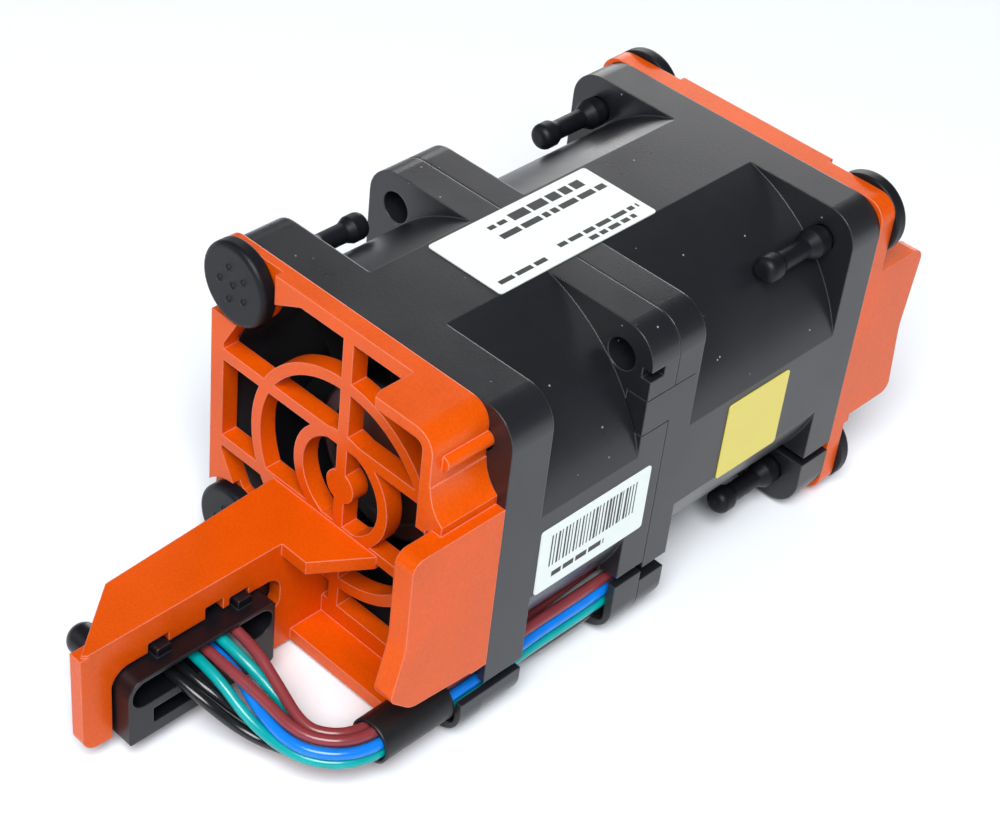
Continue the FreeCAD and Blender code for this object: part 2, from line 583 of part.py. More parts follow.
def motor(prefix, hub_end_name, reverse):
    """Rotor yoke, magnet and shaft, and the stator, bearings, tube and board that they run round."""
    end = P[hub_end_name]
    yoke_out = P["hub_rad"] - P["hub_wall"] - P["yoke_gap"]
    yoke_in = yoke_out - P["yoke_t"]
    roof = end - 1.4 - P["yoke_gap"]
    ceiling = roof - P["yoke_t"]
    yoke = turned(prefix + "_yoke_cup", [
        (2.45, ceiling), (yoke_in, ceiling, 0.5), (yoke_in, P["hub_start"] + 0.3),
        (yoke_out, P["hub_start"] + 0.3), (yoke_out, roof, 1.0), (2.45, roof),
    ])
    node(yoke, prefix + "_rotor_yoke", "joint_y", reverse)

    magnet_out = yoke_in - P["fit_gap"]
    magnet_in = magnet_out - P["magnet_t"]
    stack_top = end - 6.6
    magnet = turned(prefix + "_magnet_ring",
                    ring_profile(magnet_in, magnet_out, P["hub_start"] + 0.6, stack_top + 0.8))
    node(magnet, prefix + "_rotor_magnet", "joint_y", reverse)

    shaft_end = end - 0.95
    shaft = turned(prefix + "_pin", [
        (0, 0.45), (P["shaft_rad"] - 0.2, 0.45), (P["shaft_rad"], 0.65), (P["shaft_rad"], 0.8),
        (0.75, 0.8), (0.75, 1.15), (P["shaft_rad"], 1.15), (P["shaft_rad"], shaft_end), (0, shaft_end),
    ])
    node(shaft, prefix + "_rotor_shaft", "joint_y", reverse)
    clip = cut(prefix + "_clip_open",
               turned(prefix + "_clip_ring", ring_profile(0.78, 1.9, 0.83, 1.12)),
               [box(prefix + "_clip_mouth", ("0 - 0.55", "0.5", "0"), ("1.1", "1", "3"))])
    node(clip, prefix + "_shaft_clip", "joint_y", reverse)

    tube_top = end - 4.0
    seat = P["bearing_rad"] + P["fit_gap"]
    step = seat - 0.35
    low_seat = 1.35
    tube = turned(prefix + "_sleeve", [
        (seat, low_seat), (step, low_seat), (step, 0.3), (P["tube_rad"], 0.3),
        (P["tube_rad"], tube_top), (seat, tube_top), (seat, tube_top - P["bearing_len"] - 0.1),
        (step, tube_top - P["bearing_len"] - 0.1), (step, low_seat + P["bearing_len"] + 0.1),
        (seat, low_seat + P["bearing_len"] + 0.1),
    ])
    node(tube, prefix + "_bearing_tube", "joint_y", reverse)
    bore = P["shaft_rad"] + P["running_gap"]
    races = []
    for k, low in enumerate((low_seat + 0.05, tube_top - P["bearing_len"] - 0.05)):
        high = low + P["bearing_len"]
        races.append(turned("%s_race_%d" % (prefix, k), [
            (bore, low), (1.45, low), (1.45, low + 0.2), (2.5, low + 0.2), (2.5, low),
            (P["bearing_rad"], low), (P["bearing_rad"], high), (2.5, high), (2.5, high - 0.2),
            (1.45, high - 0.2), (1.45, high), (bore, high),
        ]))
    node(group(prefix + "_races", races), prefix + "_bearings", "joint_y", reverse)

    stack_low = P["hub_start"] + 1.4
    core_out = magnet_in - P["air_gap"]
    tip_in = core_out - P["tip_t"]
    hub_ring = turned(prefix + "_core_hub",
                      ring_profile(P["tube_rad"] + P["fit_gap"], P["core_rad_in"], stack_low, stack_top))
    tips = turned(prefix + "_core_tips", ring_profile(tip_in, core_out, stack_low, stack_top))
    slots = []
    arms = [hub_ring]
    coils = []
    half = P["pole_w"] / 2
    gap = P["coil_gap"]
    for k in range(4):
        slot = prism("%s_slot_%d" % (prefix, k), "y",
                     oblong(tip_in - 1, -0.6, core_out + 1, 0.6), str(stack_low - 1), str(stack_top))
        slots.append(spun(slot, 90 * k + 45))
        arm = prism("%s_pole_%d" % (prefix, k), "y",
                    oblong(P["core_rad_in"] - 0.3, -half, tip_in + 0.2, half),
                    str(stack_low), str(stack_top - stack_low))
        arms.append(spun(arm, 90 * k))
        side = half + P["coil_t"]
        outer = oblong(stack_low - 0.75, -side, stack_top + 0.75, side, 0.6)
        inner = oblong(stack_low - gap, -half - gap, stack_top + gap, half + gap)
        coil_in = P["core_rad_in"] + 2 * gap
        coil_out = math.sqrt(tip_in ** 2 - side ** 2) - gap
        coil = cut("%s_coil_%d" % (prefix, k),
                   prism("%s_coil_out_%d" % (prefix, k), "x", outer, str(coil_in), str(coil_out - coil_in)),
                   [prism("%s_coil_in_%d" % (prefix, k), "x", inner, str(coil_in - 1), str(tip_in))])
        coils.append(spun(coil, 90 * k))
    core = fuse(prefix + "_core", arms + [cut(prefix + "_core_shoes", tips, slots)])
    node(core, prefix + "_stator_core", "joint_y", reverse)
    node(group(prefix + "_coils", coils), prefix + "_stator_coils", "joint_y", reverse)

    board = cut(prefix + "_board_cut",
                turned(prefix + "_board_disc",
                       ring_profile(P["tube_rad"] + 0.1, P["hub_rad"] - P["base_wall"] - 0.15,
                                    P["board_y"], P["board_y"] + P["board_t"])),
                [box(prefix + "_board_key", ("hub_rad - 2", "0", "0 - 1"), ("3", "5", "2"))])
    node(board, prefix + "_circuit_board", "joint_y", reverse)


# ---------------------------------------------------------------- guards
def grille(name, rear_y, thickness, right, low_bar):
    """Edge bars, cross ribs, two rings and a boss."""
    half = P["fan_half"]
    plate = prism(name + "_plate", "y", square(half, P["guard_round"]), rear_y, thickness)
    window = prism(name + "_window", "y",
                   oblong(P["bar_w"] - half, low_bar - half, right, half - P["top_bar_w"], 1.0),
                   rear_y + " - 1", thickness + " + 2")
    rings = []
    for k, word in enumerate(("ring_big", "ring_small")):
        rings.append(cut("%s_hoop_%d" % (name, k),
                         rod("%s_hoop_out_%d" % (name, k), ("0", rear_y, "0"), word + " + ring_w / 2",
                             thickness),
                         [rod("%s_hoop_in_%d" % (name, k), ("0", rear_y + " - 1", "0"),
                              word + " - ring_w / 2", thickness + " + 2")]))
    ribs = [
        box(name + "_rib_up", ("0 - rib_w / 2", rear_y, "0 - fan_half + 1"),
            ("rib_w", thickness, "2 * fan_half - 2")),
        box(name + "_rib_high", ("0 - fan_half + 1", rear_y, "rib_high - rib_w / 2"),
            ("fan_half - 1 + %s + 0.5" % right, thickness, "rib_w")),
        box(name + "_rib_low", ("0 - fan_half + 1", rear_y, "rib_low - rib_w / 2"),
            ("fan_half - 1 + %s + 0.5" % right, thickness, "rib_w")),
        rod(name + "_boss", ("0", rear_y, "0"), "boss_rad", thickness),
    ]
    return [cut(name + "_edge", plate, [window])] + rings + ribs


def pads(name, rear_y, thickness, corners):
    """Discs under the isolators' heads, with the gussets that lead to them."""
    things = []
    for k, (a, b) in enumerate(corners):
        things.append(rod("%s_pad_%d" % (name, k), (sign(a, "hole_half"), rear_y, sign(b, "hole_half")),
                          "pad_rad", thickness))
        half = P["fan_half"]
        points = [(a * (half - 1.7), b * (half - 13.2)), (a * (half - 4.2), b * (half - 8.8)),
                  (a * (half - 8.8), b * (half - 3.8)), (a * (half - 13.6), b * (half - 1.5)),
                  (a * (half - 1), b * (half - 1.5))]
        if a * b > 0:
            points.reverse()
        things.append(prism("%s_gusset_%d" % (name, k), "y", points, rear_y, thickness))
    square_edge = prism(name + "_pad_limit", "y", square(P["fan_half"], P["guard_round"]), rear_y, thickness)
    return common(name + "_pads", [fuse(name + "_pads_all", things), square_edge])


def arm():
    """The latch arm: a shelf with a cut-off corner, its side wall and the lip that ties it to the guard."""
    right = P["arm_right"]
    wall = P["arm_t"]
    shelf = prism("arm_shelf", "z",
                  [(P["arm_root"], -1.0), (P["arm_bend_x"], P["arm_bend_y"]),
                   (right - 0.4, 0.4 - P["arm_reach"]), (right, 0.9 - P["arm_reach"]),
                   (right, -P["web_deep"]), (P["web_left"], -P["web_deep"]),
                   (P["web_right"], -2.2), (P["web_right"], -1.0)],
                  "arm_top - arm_t", "arm_t")
    side = prism("arm_side", "x",
                 [(-1.0, P["arm_top"] - 0.3), (-P["arm_reach"], P["arm_top"] - 0.3),
                  (-P["arm_reach"], P["arm_low"] + 0.1, 2.0), (2.3 - P["arm_reach"], P["arm_low"]),
                  (-8.6, -P["fan_half"]), (-1.0, -P["fan_half"])],
                 "arm_right - arm_t", "arm_t")
    front = P["plug_front"] - P["plug_gap"]
    back = P["plug_back"] + P["plug_gap"]
    top = P["plug_top"] + P["plug_gap"]
    opening = prism("arm_cutout", "x",
                    [(front, -22), (front, top, 2.2), (back + 2.4, top, 1.9), (back + 2.4, top - 4.4, 1.6),
                     (back, top - 4.9), (back, -22)],
                    "arm_right - arm_t - 1", "arm_t + 2")
    notches = []
    for k, (y, width, rise) in enumerate(((-25.2, 2.6, 1.2), (-18.0, 2.3, 1.5), (-14.9, 2.5, 1.0))):
        notches.append(prism("arm_notch_%d" % k, "x", oblong(y, top - 0.5, y + width, top + rise, 0.2),
                             "arm_right - arm_t - 1", "arm_t + 2"))
    lip = prism("arm_lip", "z",
                [(right - wall, -1.0), (right - wall, -P["lip_deep"]),
                 (P["lip_right"], -P["lip_deep"], 0.5), (P["lip_right"], -1.0)],
                "0 - fan_half", "lip_t")
    return [shelf, cut("arm_wall", side, [opening] + notches), lip]


def front_guard():
    half = P["fan_half"]
    edge = P["hood_right"]
    deep = "0 - guard_t"
    base = fuse("guard_base", grille("guard", deep, "guard_t", P["right_bar"], P["low_bar_w"])
                + [pads("guard", deep, "guard_t", [(-1, 1), (-1, -1)])])
    tools = [
        # the right edge is cut back beside the hood, and the lower right corner leaves the lead free
        prism("guard_side_cut", "y",
              [(edge, P["grip_top"]), (half + 1, P["grip_top"]), (half + 1, half + 1),
               (edge - 3, half + 1), (edge - 3, half), (edge, half, P["hood_round"])],
              "0 - guard_t - 1", "guard_t + 2"),
        prism("guard_corner_cut", "y", [(P["lip_right"], -half - 1), (half + 1, -half - 1),
                                        (half + 1, P["grip_low"]), (P["lip_right"], P["grip_low"], 0.5)],
              "0 - guard_t - 1", "guard_t + 2"),
        box("guard_pad_recess_up", ("0 - fan_half - 1", "0 - guard_t - 1", "hole_half - pad_room"),
            ("fan_half + 1 - hole_half + pad_room", "pad_deep + 1", "2 * pad_room")),
        rod("guard_pad_recess_low", ("0 - hole_half", "0 - guard_t - 1", "0 - hole_half"), "pad_room",
            "pad_deep + 1"),
    ]
    tools += corner_holes("guard", "0 - guard_t - 1", "guard_t + 2", "hole_rad + 0.3", [(-1, 1), (-1, -1)])
    plate = cut("guard_plate_cut", base, tools)

    wall = P["hood_t"]
    hood = prism("hood", "y",
                 [(P["hood_left"], half - wall), (edge - wall, half - wall, P["hood_round"] - wall),
                  (edge - wall, P["grip_top"] - 1), (edge, P["grip_top"] - 1),
                  (edge, half, P["hood_round"]), (P["hood_left"], half)],
                 "0 - hood_deep", "hood_deep")
    hood_corner = prism("hood_corner", "z",
                        [(P["hood_left"] - 1, -P["hood_deep"] - 1),
                         (P["hood_left"] + 0.9, -P["hood_deep"] - 1),
                         (P["hood_left"] - 0.1, 1.2 - P["hood_deep"]),
                         (P["hood_left"] - 1, 1.2 - P["hood_deep"])],
                        "fan_half - 4", "6")
    bead = rod("hood_bead", ("hood_right", "0 - hood_deep + 1.4", "bead_z"), "bead_rad", "hood_deep - 1.4")
    # the scoop: a block with its outer side hollowed by a large round
    scoop = cut("hood_scoop",
                box("hood_scoop_block", ("hood_right - 0.4", "0 - hood_deep", "grip_top - 0.5"),
                    ("2.4", "hood_deep", "scoop_rad + 0.5")),
                [rod("hood_scoop_round", ("hood_right + scoop_rad + 0.15", "0 - hood_deep - 1",
                                          "grip_top + scoop_rad + 0.1"), "scoop_rad", "hood_deep + 2")])
    grip = prism("grip", "x",
                 [(0, P["grip_low"]), (-10.5, P["grip_low"] + 0.9, 2.5), (-13.4, -7.4, 1.2),
                  (-P["grip_deep"], -1.5, 9.0), (-P["grip_deep"], P["grip_top"], 1.4), (0, P["grip_top"])],
                 "fan_half - grip_t", "grip_t")
    hood = cut("hood_trimmed", hood, [hood_corner])
    whole = fuse("front_guard_all", [plate, hood, bead, scoop, grip] + arm())
    return node(whole, "front_guard")


def rear_guard():
    deep = "module_len"
    right = P["fan_half"] - P["bar_w"]
    base = fuse("rear_guard_base", grille("rear_guard", deep, "rear_guard_t", right, P["top_bar_w"])
                + [pads("rear_guard", deep, "rear_guard_t", CORNERS)])
    tools = corner_holes("rear_guard", "module_len - 1", "rear_guard_t + 2", "hole_rad + 0.3", CORNERS)
    for k, (a, b) in enumerate(CORNERS):
        low = ["0 - fan_half - 1" if side < 0 else "hole_half - pad_room" for side in (a, b)]
        tools.append(box("rear_guard_recess_%d" % k,
                         (low[0], "module_len + rear_guard_t - rear_pad_deep", low[1]),
                         ["fan_half - hole_half + pad_room + 1", "rear_pad_deep + 1",
                          "fan_half - hole_half + pad_room + 1"]))
    end = P["module_len"]
    grip = prism("rear_grip", "x",
                 [(end, P["rear_grip_low"]), (end + P["rear_grip_end"], P["rear_grip_low"], 1.2),
                  (end + P["rear_grip_end"] - 1.1, 0, 12),
                  (end + P["rear_grip_end"], P["rear_grip_top"], 1.6), (end, P["rear_grip_top"])],
                 "fan_half - grip_t", "grip_t")
    return node(fuse("rear_guard_all", [cut("rear_guard_cut", base, tools), grip]), "rear_guard")


# ---------------------------------------------------------------- isolators
def isolator(name, plate_t, pad_deep, flange_t):
    """A pull-through rubber isolator, head at negative y, tail along +y, flange face at y = 0."""
    seat = pad_deep - plate_t
    face = seat - P["head_t"]
    head = P["head_rad"]
    stem = P["stem_rad"]
    bulb_y = flange_t + 0.15
    solid = turned(name + "_body", [
        (0, face), (head, face, P["head_round"]), (head, seat, 0.25), (stem, seat), (stem, bulb_y),
        (P["bulb_rad"] - 0.2, bulb_y), (P["bulb_rad"], bulb_y + 0.4), (P["bulb_rad"], bulb_y + 1.8),
        (P["tail_rad"], bulb_y + 3.0), (P["tail_rad"], P["tail_end"] - 2.9),
        (P["ball_rad"], P["tail_end"] - 2.0), (P["ball_rad"], P["tail_end"], 0.9), (0, P["tail_end"]),
    ])
    # one raised dot in the middle of the head and five round it
    dots = []
    for k in range(6):
        dot = DOC.addObject("Part::Sphere", "%s_dot_%d" % (name, k))
        bind(dot, "Radius", "dot_rad")
        out = P["dot_circle"] if k else 0
        turn = math.radians(72 * k + 38)
        dot.Placement.Base = Vector(out * math.cos(turn), face + P["dot_rad"] / 3, out * math.sin(turn))
        dots.append(dot)
    return fuse(name, [solid] + dots)


def isolators():
    front = []
    for k, (a, b) in enumerate([(-1, 1), (-1, -1)]):
        thing = isolator("front_isolator_%d" % k, P["guard_t"], P["pad_deep"], P["front_flange_t"])
        front.append(place(thing, (sign(a, "hole_half"), "0", sign(b, "hole_half"))))
    node(group("front_isolator_set", front), "front_isolators")
    rear = []
    for k, (a, b) in enumerate(CORNERS):
        thing = isolator("rear_isolator_%d" % k, P["rear_guard_t"], P["rear_pad_deep"], P["rear_flange_t"])
        spot = (sign(a, "hole_half"), "module_len", sign(b, "hole_half"))
        rear.append(place(thing, spot, Turn(Z_AXIS, 180)))
    node(group("rear_isolator_set", rear), "rear_isolators")


# ---------------------------------------------------------------- connector
def connector():
    """Blind-mate connector: body in the arm's cut-out, flange behind it, guide posts and a contact block."""
    face = P["arm_right"] + P["plug_out"]
    back = P["arm_right"] - P["arm_t"]
    front_y = P["plug_front"]
    rear_y = P["plug_back"]
    top = P["plug_top"]
    low = P["plug_low"]
    block = prism("plug_block", "x",
                  [(front_y, low, 0.4), (rear_y, low, 0.4), (rear_y, top, 0.4), (front_y, top, 1.9)],
                  "arm_right - arm_t - plug_flange_t", "arm_t + plug_out + plug_flange_t")
    collar = prism("plug_collar", "x", oblong(front_y - 1.4, low - 0.5, rear_y + 3.6, top + 1.7, 1.8),
                   "arm_right - arm_t - plug_flange_t - 0.1", "plug_flange_t")
    tongues = [prism("plug_tongue_%d" % k, "x", oblong(y, top - 1, y + 1.8, top + 1.1, 0.3),
                     "arm_right - arm_t - plug_flange_t", "arm_t + plug_flange_t + 0.9")
               for k, y in enumerate((-24.8, -14.5))]
    posts = []
    nose = P["post_rad"] - 0.3
    post_places = (front_y + P["post_rad"] + 0.15, rear_y - P["post_rad"] - 0.15)
    for k, y in enumerate(post_places):
        post = turned("plug_post_%d" % k, [(0, 0), (P["post_rad"], 0), (P["post_rad"], P["post_len"], nose),
                                           (0, P["post_len"])])
        post.Placement = FreeCAD.Placement(Vector(back, y, P["post_z"]), Turn(Z_AXIS, 90))
        posts.append(post)
    mate = prism("plug_mate", "x", oblong(front_y + 4.6, -16.4, rear_y - 4.6, -10.6, 0.4),
                 "arm_right - arm_t - plug_flange_t - 4", "4")
    solid = fuse("plug_solid", [block, collar, mate] + tongues + posts)
    recess = prism("plug_recess", "x", oblong(front_y + 0.45, -13.75, rear_y - 0.3, -10.45, 1.64),
                   "arm_right + plug_out - recess_deep", "recess_deep + 1")
    window = prism("plug_window", "x", oblong(front_y + 3.0, -16.8, front_y + 8.1, -14.8, 0.2),
                   "arm_right + plug_out - 1.6", "3")
    tools = [recess, window]
    # sockets at both ends of the recess, and the cavities of the contacts between them
    for k, y in enumerate(post_places):
        tools.append(rod("plug_socket_%d" % k, (str(face - 4.4), str(y), "post_z"), "1.35", "3", "x"))
    blades = []
    for k in range(8):
        y = (front_y + rear_y) / 2 + (k % 4 - 1.5) * 2.0
        z = -12.5 - 2.3 * (k // 4)
        tools.append(box("plug_cavity_%d" % k,
                         ("arm_right - arm_t - plug_flange_t - 5", str(y - 0.6), str(z - 0.6)),
                         ("4.4", "1.2", "1.2")))
        blades.append(box("plug_contact_%d" % k,
                          ("arm_right - arm_t - plug_flange_t - 3.8", str(y - P["contact_w"] / 2),
                           str(z - P["contact_w"] / 2)),
                          ("3.2", "contact_w", "contact_w")))
    node(cut("plug", solid, tools), "connector_housing")
    node(group("plug_contacts", blades), "connector_contacts")


# ---------------------------------------------------------------- lead
# Each wire leaves the floor of the connector's recess straight out at its mouth (y, z), swings through one
# point, turns into its own place round the sleeve's axis (a bearing in degrees, or None for the one in the
# middle), lies in the open channel beside the duct at (x, z) and ends at (x, z) in the middle pocket.
WIRES = [
    ("wire_black_a", (-23.3, -12.9), (7.6, -20.2, -17.4), -77.1, (17.6, -17.45), (17.6, -17.45)),
    ("wire_black_b", (-21.9, -13.1), (7.0, -18.8, -17.3), -128.6, (16.25, -17.45), (16.25, -17.45)),
    ("wire_teal_a", (-20.4, -12.2), (7.6, -20.0, -15.5), -25.7, (18.1, -16.1), (18.1, -16.1)),
    ("wire_teal_b", (-17.4, -11.4), (7.4, -16.2, -14.7), 180.0, (15.5, -16.3), (15.5, -16.3)),
    ("wire_red_a", (-15.6, -11.2), (7.4, -16.3, -12.9), 128.6, (15.4, -14.95), (15.4, -14.95)),
    ("wire_red_b", (-19.1, -12.0), (7.6, -18.5, -13.1), 77.1, (17.8, -13.15), (17.8, -13.15)),
    ("wire_blue", (-17.8, -13.1), (7.6, -19.0, -14.45), 25.7, (18.15, -14.4), (18.15, -14.4)),
    ("wire_grey", (-15.2, -13.0), (6.6, -17.75, -15.6), None, (17.0, -15.3), (16.7, -13.9)),
]


def tube_along(name, points, radius):
    """A tube whose path is straight runs joined by tangent arcs as large as the runs allow."""
    spots = [Vector(*p) for p in points]
    edges = []
    start = spots[0]
    smallest = 1e9
    for before, here, after in zip(spots, spots[1:], spots[2:]):
        back = (before - here)
        ahead = (after - here)
        run = 0.45 * min(back.Length, ahead.Length)
        back.normalize()
        ahead.normalize()
        half_turn = (math.pi - back.getAngle(ahead)) / 2
        bend = run / math.tan(half_turn)
        smallest = min(smallest, bend)
        first = here + back * run
        last = here + ahead * run
        middle = here + (back + ahead).normalize() * (bend / math.cos(half_turn) - bend)
        edges.append(Part.makeLine(start, first))
        edges.append(Part.Arc(first, middle, last).toShape())
        start = last
    edges.append(Part.makeLine(start, spots[-1]))
    path = Part.Wire(edges)
    heading = spots[1] - spots[0]
    circle = Part.Wire([Part.makeCircle(radius, spots[0], heading)])
    solid = path.makePipeShell([circle], True, False, 1)
    whole = math.pi * radius ** 2 * path.Length
    print("%-14s length %6.2f  smallest bend %5.2f  volume/ideal %.4f"
          % (name, path.Length, smallest, solid.Volume / whole))
    return solid


def wire_route(mouth, swing, bearing, channel, end):
    """The points of one wire, from the floor of the connector's recess to the middle flange."""
    ring = 0 if bearing is None else P["bundle_rad"]
    turn = math.radians(bearing or 0)
    x = P["bundle_x"] + ring * math.cos(turn)
    z = P["bundle_z"] + ring * math.sin(turn)
    floor = P["arm_right"] + P["plug_out"] - P["recess_deep"]
    # the loop's corners stand outside its bend, 30 degrees apart
    reach = (P["loop_rad"] + x - P["bundle_x"]) / math.cos(math.radians(15))
    loop = []
    for degrees, rise in ((-75, 0.25), (-45, 0.1), (-15, 0.0)):
        bearing_now = math.radians(degrees)
        loop.append((P["bundle_x"] - P["loop_rad"] + reach * math.cos(bearing_now),
                     P["loop_end"] + reach * math.sin(bearing_now), z + rise))
    return [(floor,) + mouth, (floor + P["mouth_run"],) + mouth, swing] + loop + [
        (x, P["sleeve_back"] - 4.8, z - 0.05),
        (x, P["sleeve_back"] + 0.8, z),
        (x, P["lead_enter"], z + 0.04),
        (channel[0], P["lead_duct"], channel[1]),
        (end[0], P["lead_turn"], end[1] - 0.1),
        (end[0], P["joint_y"] - 0.3, end[1]),
    ]


def lead():
    for name, mouth, swing, bearing, channel, end in WIRES:
        route = wire_route(mouth, swing, bearing, channel, end)
        node(shape(name + "_tube", tube_along(name, route, P["wire_rad"])), name)
    sleeve = cut("sleeve_tube",
                 rod("sleeve_out", ("bundle_x", "sleeve_front", "bundle_z"), "sleeve_rad",
                     "sleeve_back - sleeve_front"),
                 [rod("sleeve_in", ("bundle_x", "sleeve_front - 1", "bundle_z"), "sleeve_rad - sleeve_wall",
                      "sleeve_back - sleeve_front + 2")])
    node(sleeve, "wire_sleeve")


# ---------------------------------------------------------------- stickers
def stickers():
    round_ = P["sticker_round"]
    sheets = (
        ("rating", "z", P["rating_left"], P["rating_start"],
         P["rating_right"], P["rating_start"] + P["rating_len"]),
        ("code", "x", P["code_start"], P["code_low"], P["code_start"] + P["code_len"], P["code_high"]),
        ("notice", "x", P["module_len"] - P["notice_back"] - P["notice_side"], P["notice_low"],
         P["module_len"] - P["notice_back"], P["notice_low"] + P["notice_side"]),
    )
    for name, along, left, low, right, high in sheets:
        node(prism(name + "_sheet", along, oblong(left, low, right, high, round_), "fan_half", "sticker_t"),
             name + "_label")


# ---------------------------------------------------------------- assembly
front_frame()
rear_frame()
front_guard()
rear_guard()
isolators()
for prefix, hub_end_name, blades, handed, sweep, reverse in (
        ("front", "front_hub_end", 7, 1, 1.2, True),
        ("rear", "rear_hub_end", 5, 1, -1.0, False)):
    impeller(prefix, hub_end_name, blades, handed, sweep, reverse)
    motor(prefix, hub_end_name, reverse)
connector()
lead()
stickers()
DOC.recompute()

# ---------------------------------------------------------------- check and export
faults = [thing.Name for thing in DOC.Objects if "Invalid" in thing.State or "Error" in thing.State]
if faults:
    raise RuntimeError("failed objects: " + ", ".join(faults))
os.makedirs("parts", exist_ok=True)
for thing in NODES:
    solid = thing.Shape
    if solid.isNull() or not solid.isValid():
        raise RuntimeError(thing.Label + " has no valid shape")
    print("%-20s %2d solids  volume %9.2f mm3" % (thing.Label, len(solid.Solids), solid.Volume))
for thing in NODES:
    thing.Shape.exportStep("parts/" + thing.Label + ".step")
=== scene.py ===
"""Dresses a twin server fan module: frames, orange guards, rubber isolators, stickers and the lead.

Everything is in metres in the part's own frame: +X to the lead's side, +Y with the air flow, +Z up.
"""
import math
import random

import bmesh
import bpy
from bpy.props import FloatProperty, FloatVectorProperty, IntProperty, PointerProperty
from mathutils import Matrix, Vector


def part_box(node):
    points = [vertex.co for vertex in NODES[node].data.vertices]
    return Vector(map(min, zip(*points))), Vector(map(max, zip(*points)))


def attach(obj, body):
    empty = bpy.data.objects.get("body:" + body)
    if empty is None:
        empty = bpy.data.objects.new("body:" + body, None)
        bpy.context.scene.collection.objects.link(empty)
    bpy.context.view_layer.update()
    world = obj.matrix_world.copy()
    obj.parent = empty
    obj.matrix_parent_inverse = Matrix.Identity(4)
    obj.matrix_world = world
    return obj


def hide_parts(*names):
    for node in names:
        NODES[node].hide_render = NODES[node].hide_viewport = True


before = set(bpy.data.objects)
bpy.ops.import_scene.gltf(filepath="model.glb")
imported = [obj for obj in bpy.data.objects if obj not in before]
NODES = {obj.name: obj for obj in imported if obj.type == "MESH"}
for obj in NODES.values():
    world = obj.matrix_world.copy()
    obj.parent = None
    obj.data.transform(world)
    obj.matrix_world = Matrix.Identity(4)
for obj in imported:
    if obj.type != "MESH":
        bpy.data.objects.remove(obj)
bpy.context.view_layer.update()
MM = 0.001

bl_info = {
    "name": "Server fan module",
    "version": (1, 0, 0),
    "blender": (4, 5, 0),
    "location": "View3D > Sidebar > Fan module",
    "description": "Finishes, stickers, lead and studio of a twin server fan module",
    "category": "Object",
}


def linear(code):
    """The linear colour, with alpha 1, of an sRGB hex code."""
    channels = []
    for start in (1, 3, 5):
        share = int(code[start:start + 2], 16) / 255
        channels.append(share / 12.92 if share <= 0.04045 else ((share + 0.055) / 1.055) ** 2.4)
    return (*channels, 1.0)


# ---------------------------------------------------------------- what a user may change
def colour(name, code, description):
    """A colour property whose default is an sRGB hex code."""
    return FloatVectorProperty(name=name, description=description, subtype="COLOR", size=4, min=0, max=1,
                               default=linear(code))


def length(name, millimetres, description):
    """A length property whose default is given in millimetres."""
    return FloatProperty(name=name, description=description, subtype="DISTANCE", unit="LENGTH", min=0,
                         precision=5, default=millimetres * MM)


class FanModuleColours(bpy.types.PropertyGroup):
    """Colours of the module's materials."""
    frame_black: colour("Frames", "#1A1B1F", "Black glass-filled plastic of the two fan frames")
    guard_orange: colour("Guards", "#D44F04", "Orange plastic of the two guards")
    rubber: colour("Isolators", "#101116", "Black rubber of the pull-through isolators")
    connector_black: colour("Connector", "#101116", "Black plastic of the connector")
    impeller_black: colour("Impellers", "#151618", "Black plastic of the impellers")
    sleeve_black: colour("Sleeve", "#141518", "Heat-shrink tube round the lead")
    sticker_white: colour("White stickers", "#E2EBE8", "Film of the two white stickers")
    sticker_yellow: colour("Yellow sticker", "#D9CB5E", "Film of the square sticker")
    ink: colour("Ink", "#1A1B1E", "Bars printed on the stickers")
    wire_black: colour("Black wires", "#151619", "Insulation")
    wire_teal: colour("Teal wires", "#00999A", "Insulation")
    wire_red: colour("Red wires", "#80363B", "Insulation")
    wire_blue: colour("Blue wire", "#0876DC", "Insulation")
    wire_grey: colour("Grey wire", "#828487", "Insulation")


class FanModuleSizes(bpy.types.PropertyGroup):
    """Sizes of what is added round the solid parts."""
    wire_across: length("Wire diameter", 1.2, "Across one wire with its insulation")
    sleeve_across: length("Sleeve diameter", 5.1, "Across the heat-shrink sleeve")
    sleeve_wall: length("Sleeve wall", 0.35, "Wall of the heat-shrink sleeve")
    ink_rise: length("Ink", 0.01, "How far the ink stands off a sticker")
    edge_round: length("Edge round", 0.22, "Rounding that moulded edges show")
    code_bars: IntProperty(name="Bars", description="Bars printed on the side sticker", min=1, default=26)


def colours():
    """The scene's own set of the module's colours."""
    return bpy.context.scene.fan_module_colours


def sizes():
    """The scene's own set of the module's sizes."""
    return bpy.context.scene.fan_module_sizes


# ---------------------------------------------------------------- material helpers
CLOUD_MM = 9.0            # breadth of the soft clouds of shade in a moulded plastic
CLOUD_SHADES = (0.86, 1.14)     # the darker and the brighter of the two close shades
# paler rounded edges: partly rubbed wear, partly a painted highlight, the glint that light gives along an
# edge
WEAR_AND_HIGHLIGHT_FROM = 0.985         # how far the rounded normal leans when an edge starts to turn paler, partly rubbed wear and partly a painted highlight
WEAR_AND_HIGHLIGHT_FULL = 0.86          # and when that paler edge tone, wear and painted highlight, is full
# how far the tint moves towards its paler edge tone, rubbed wear and painted highlight together
WEAR_AND_HIGHLIGHT_SHARE = 0.7
DUST_GRID_MM = 1.3        # one speck of dust at most in each cell of this size
DUST_SPECK = 0.085        # a speck's radius, as a share of the cell
DUST_RARITY = 0.86        # the share of cells that stay clean
DUST_GREY = "#8A9096"
GLUE_MM = 1.6             # breadth of the unevenness under a sticker
GLUE_DEPTH_MM = 0.02


def add(tree, kind, inputs=None, **settings):
    """Adds a node, sets its properties, and sets or links its inputs."""
    node = tree.nodes.new(kind)
    for name, value in settings.items():
        setattr(node, name, value)
    for name, value in (inputs or {}).items():
        if isinstance(value, bpy.types.NodeSocket):
            tree.links.new(value, node.inputs[name])
        else:
            node.inputs[name].default_value = value
    return node


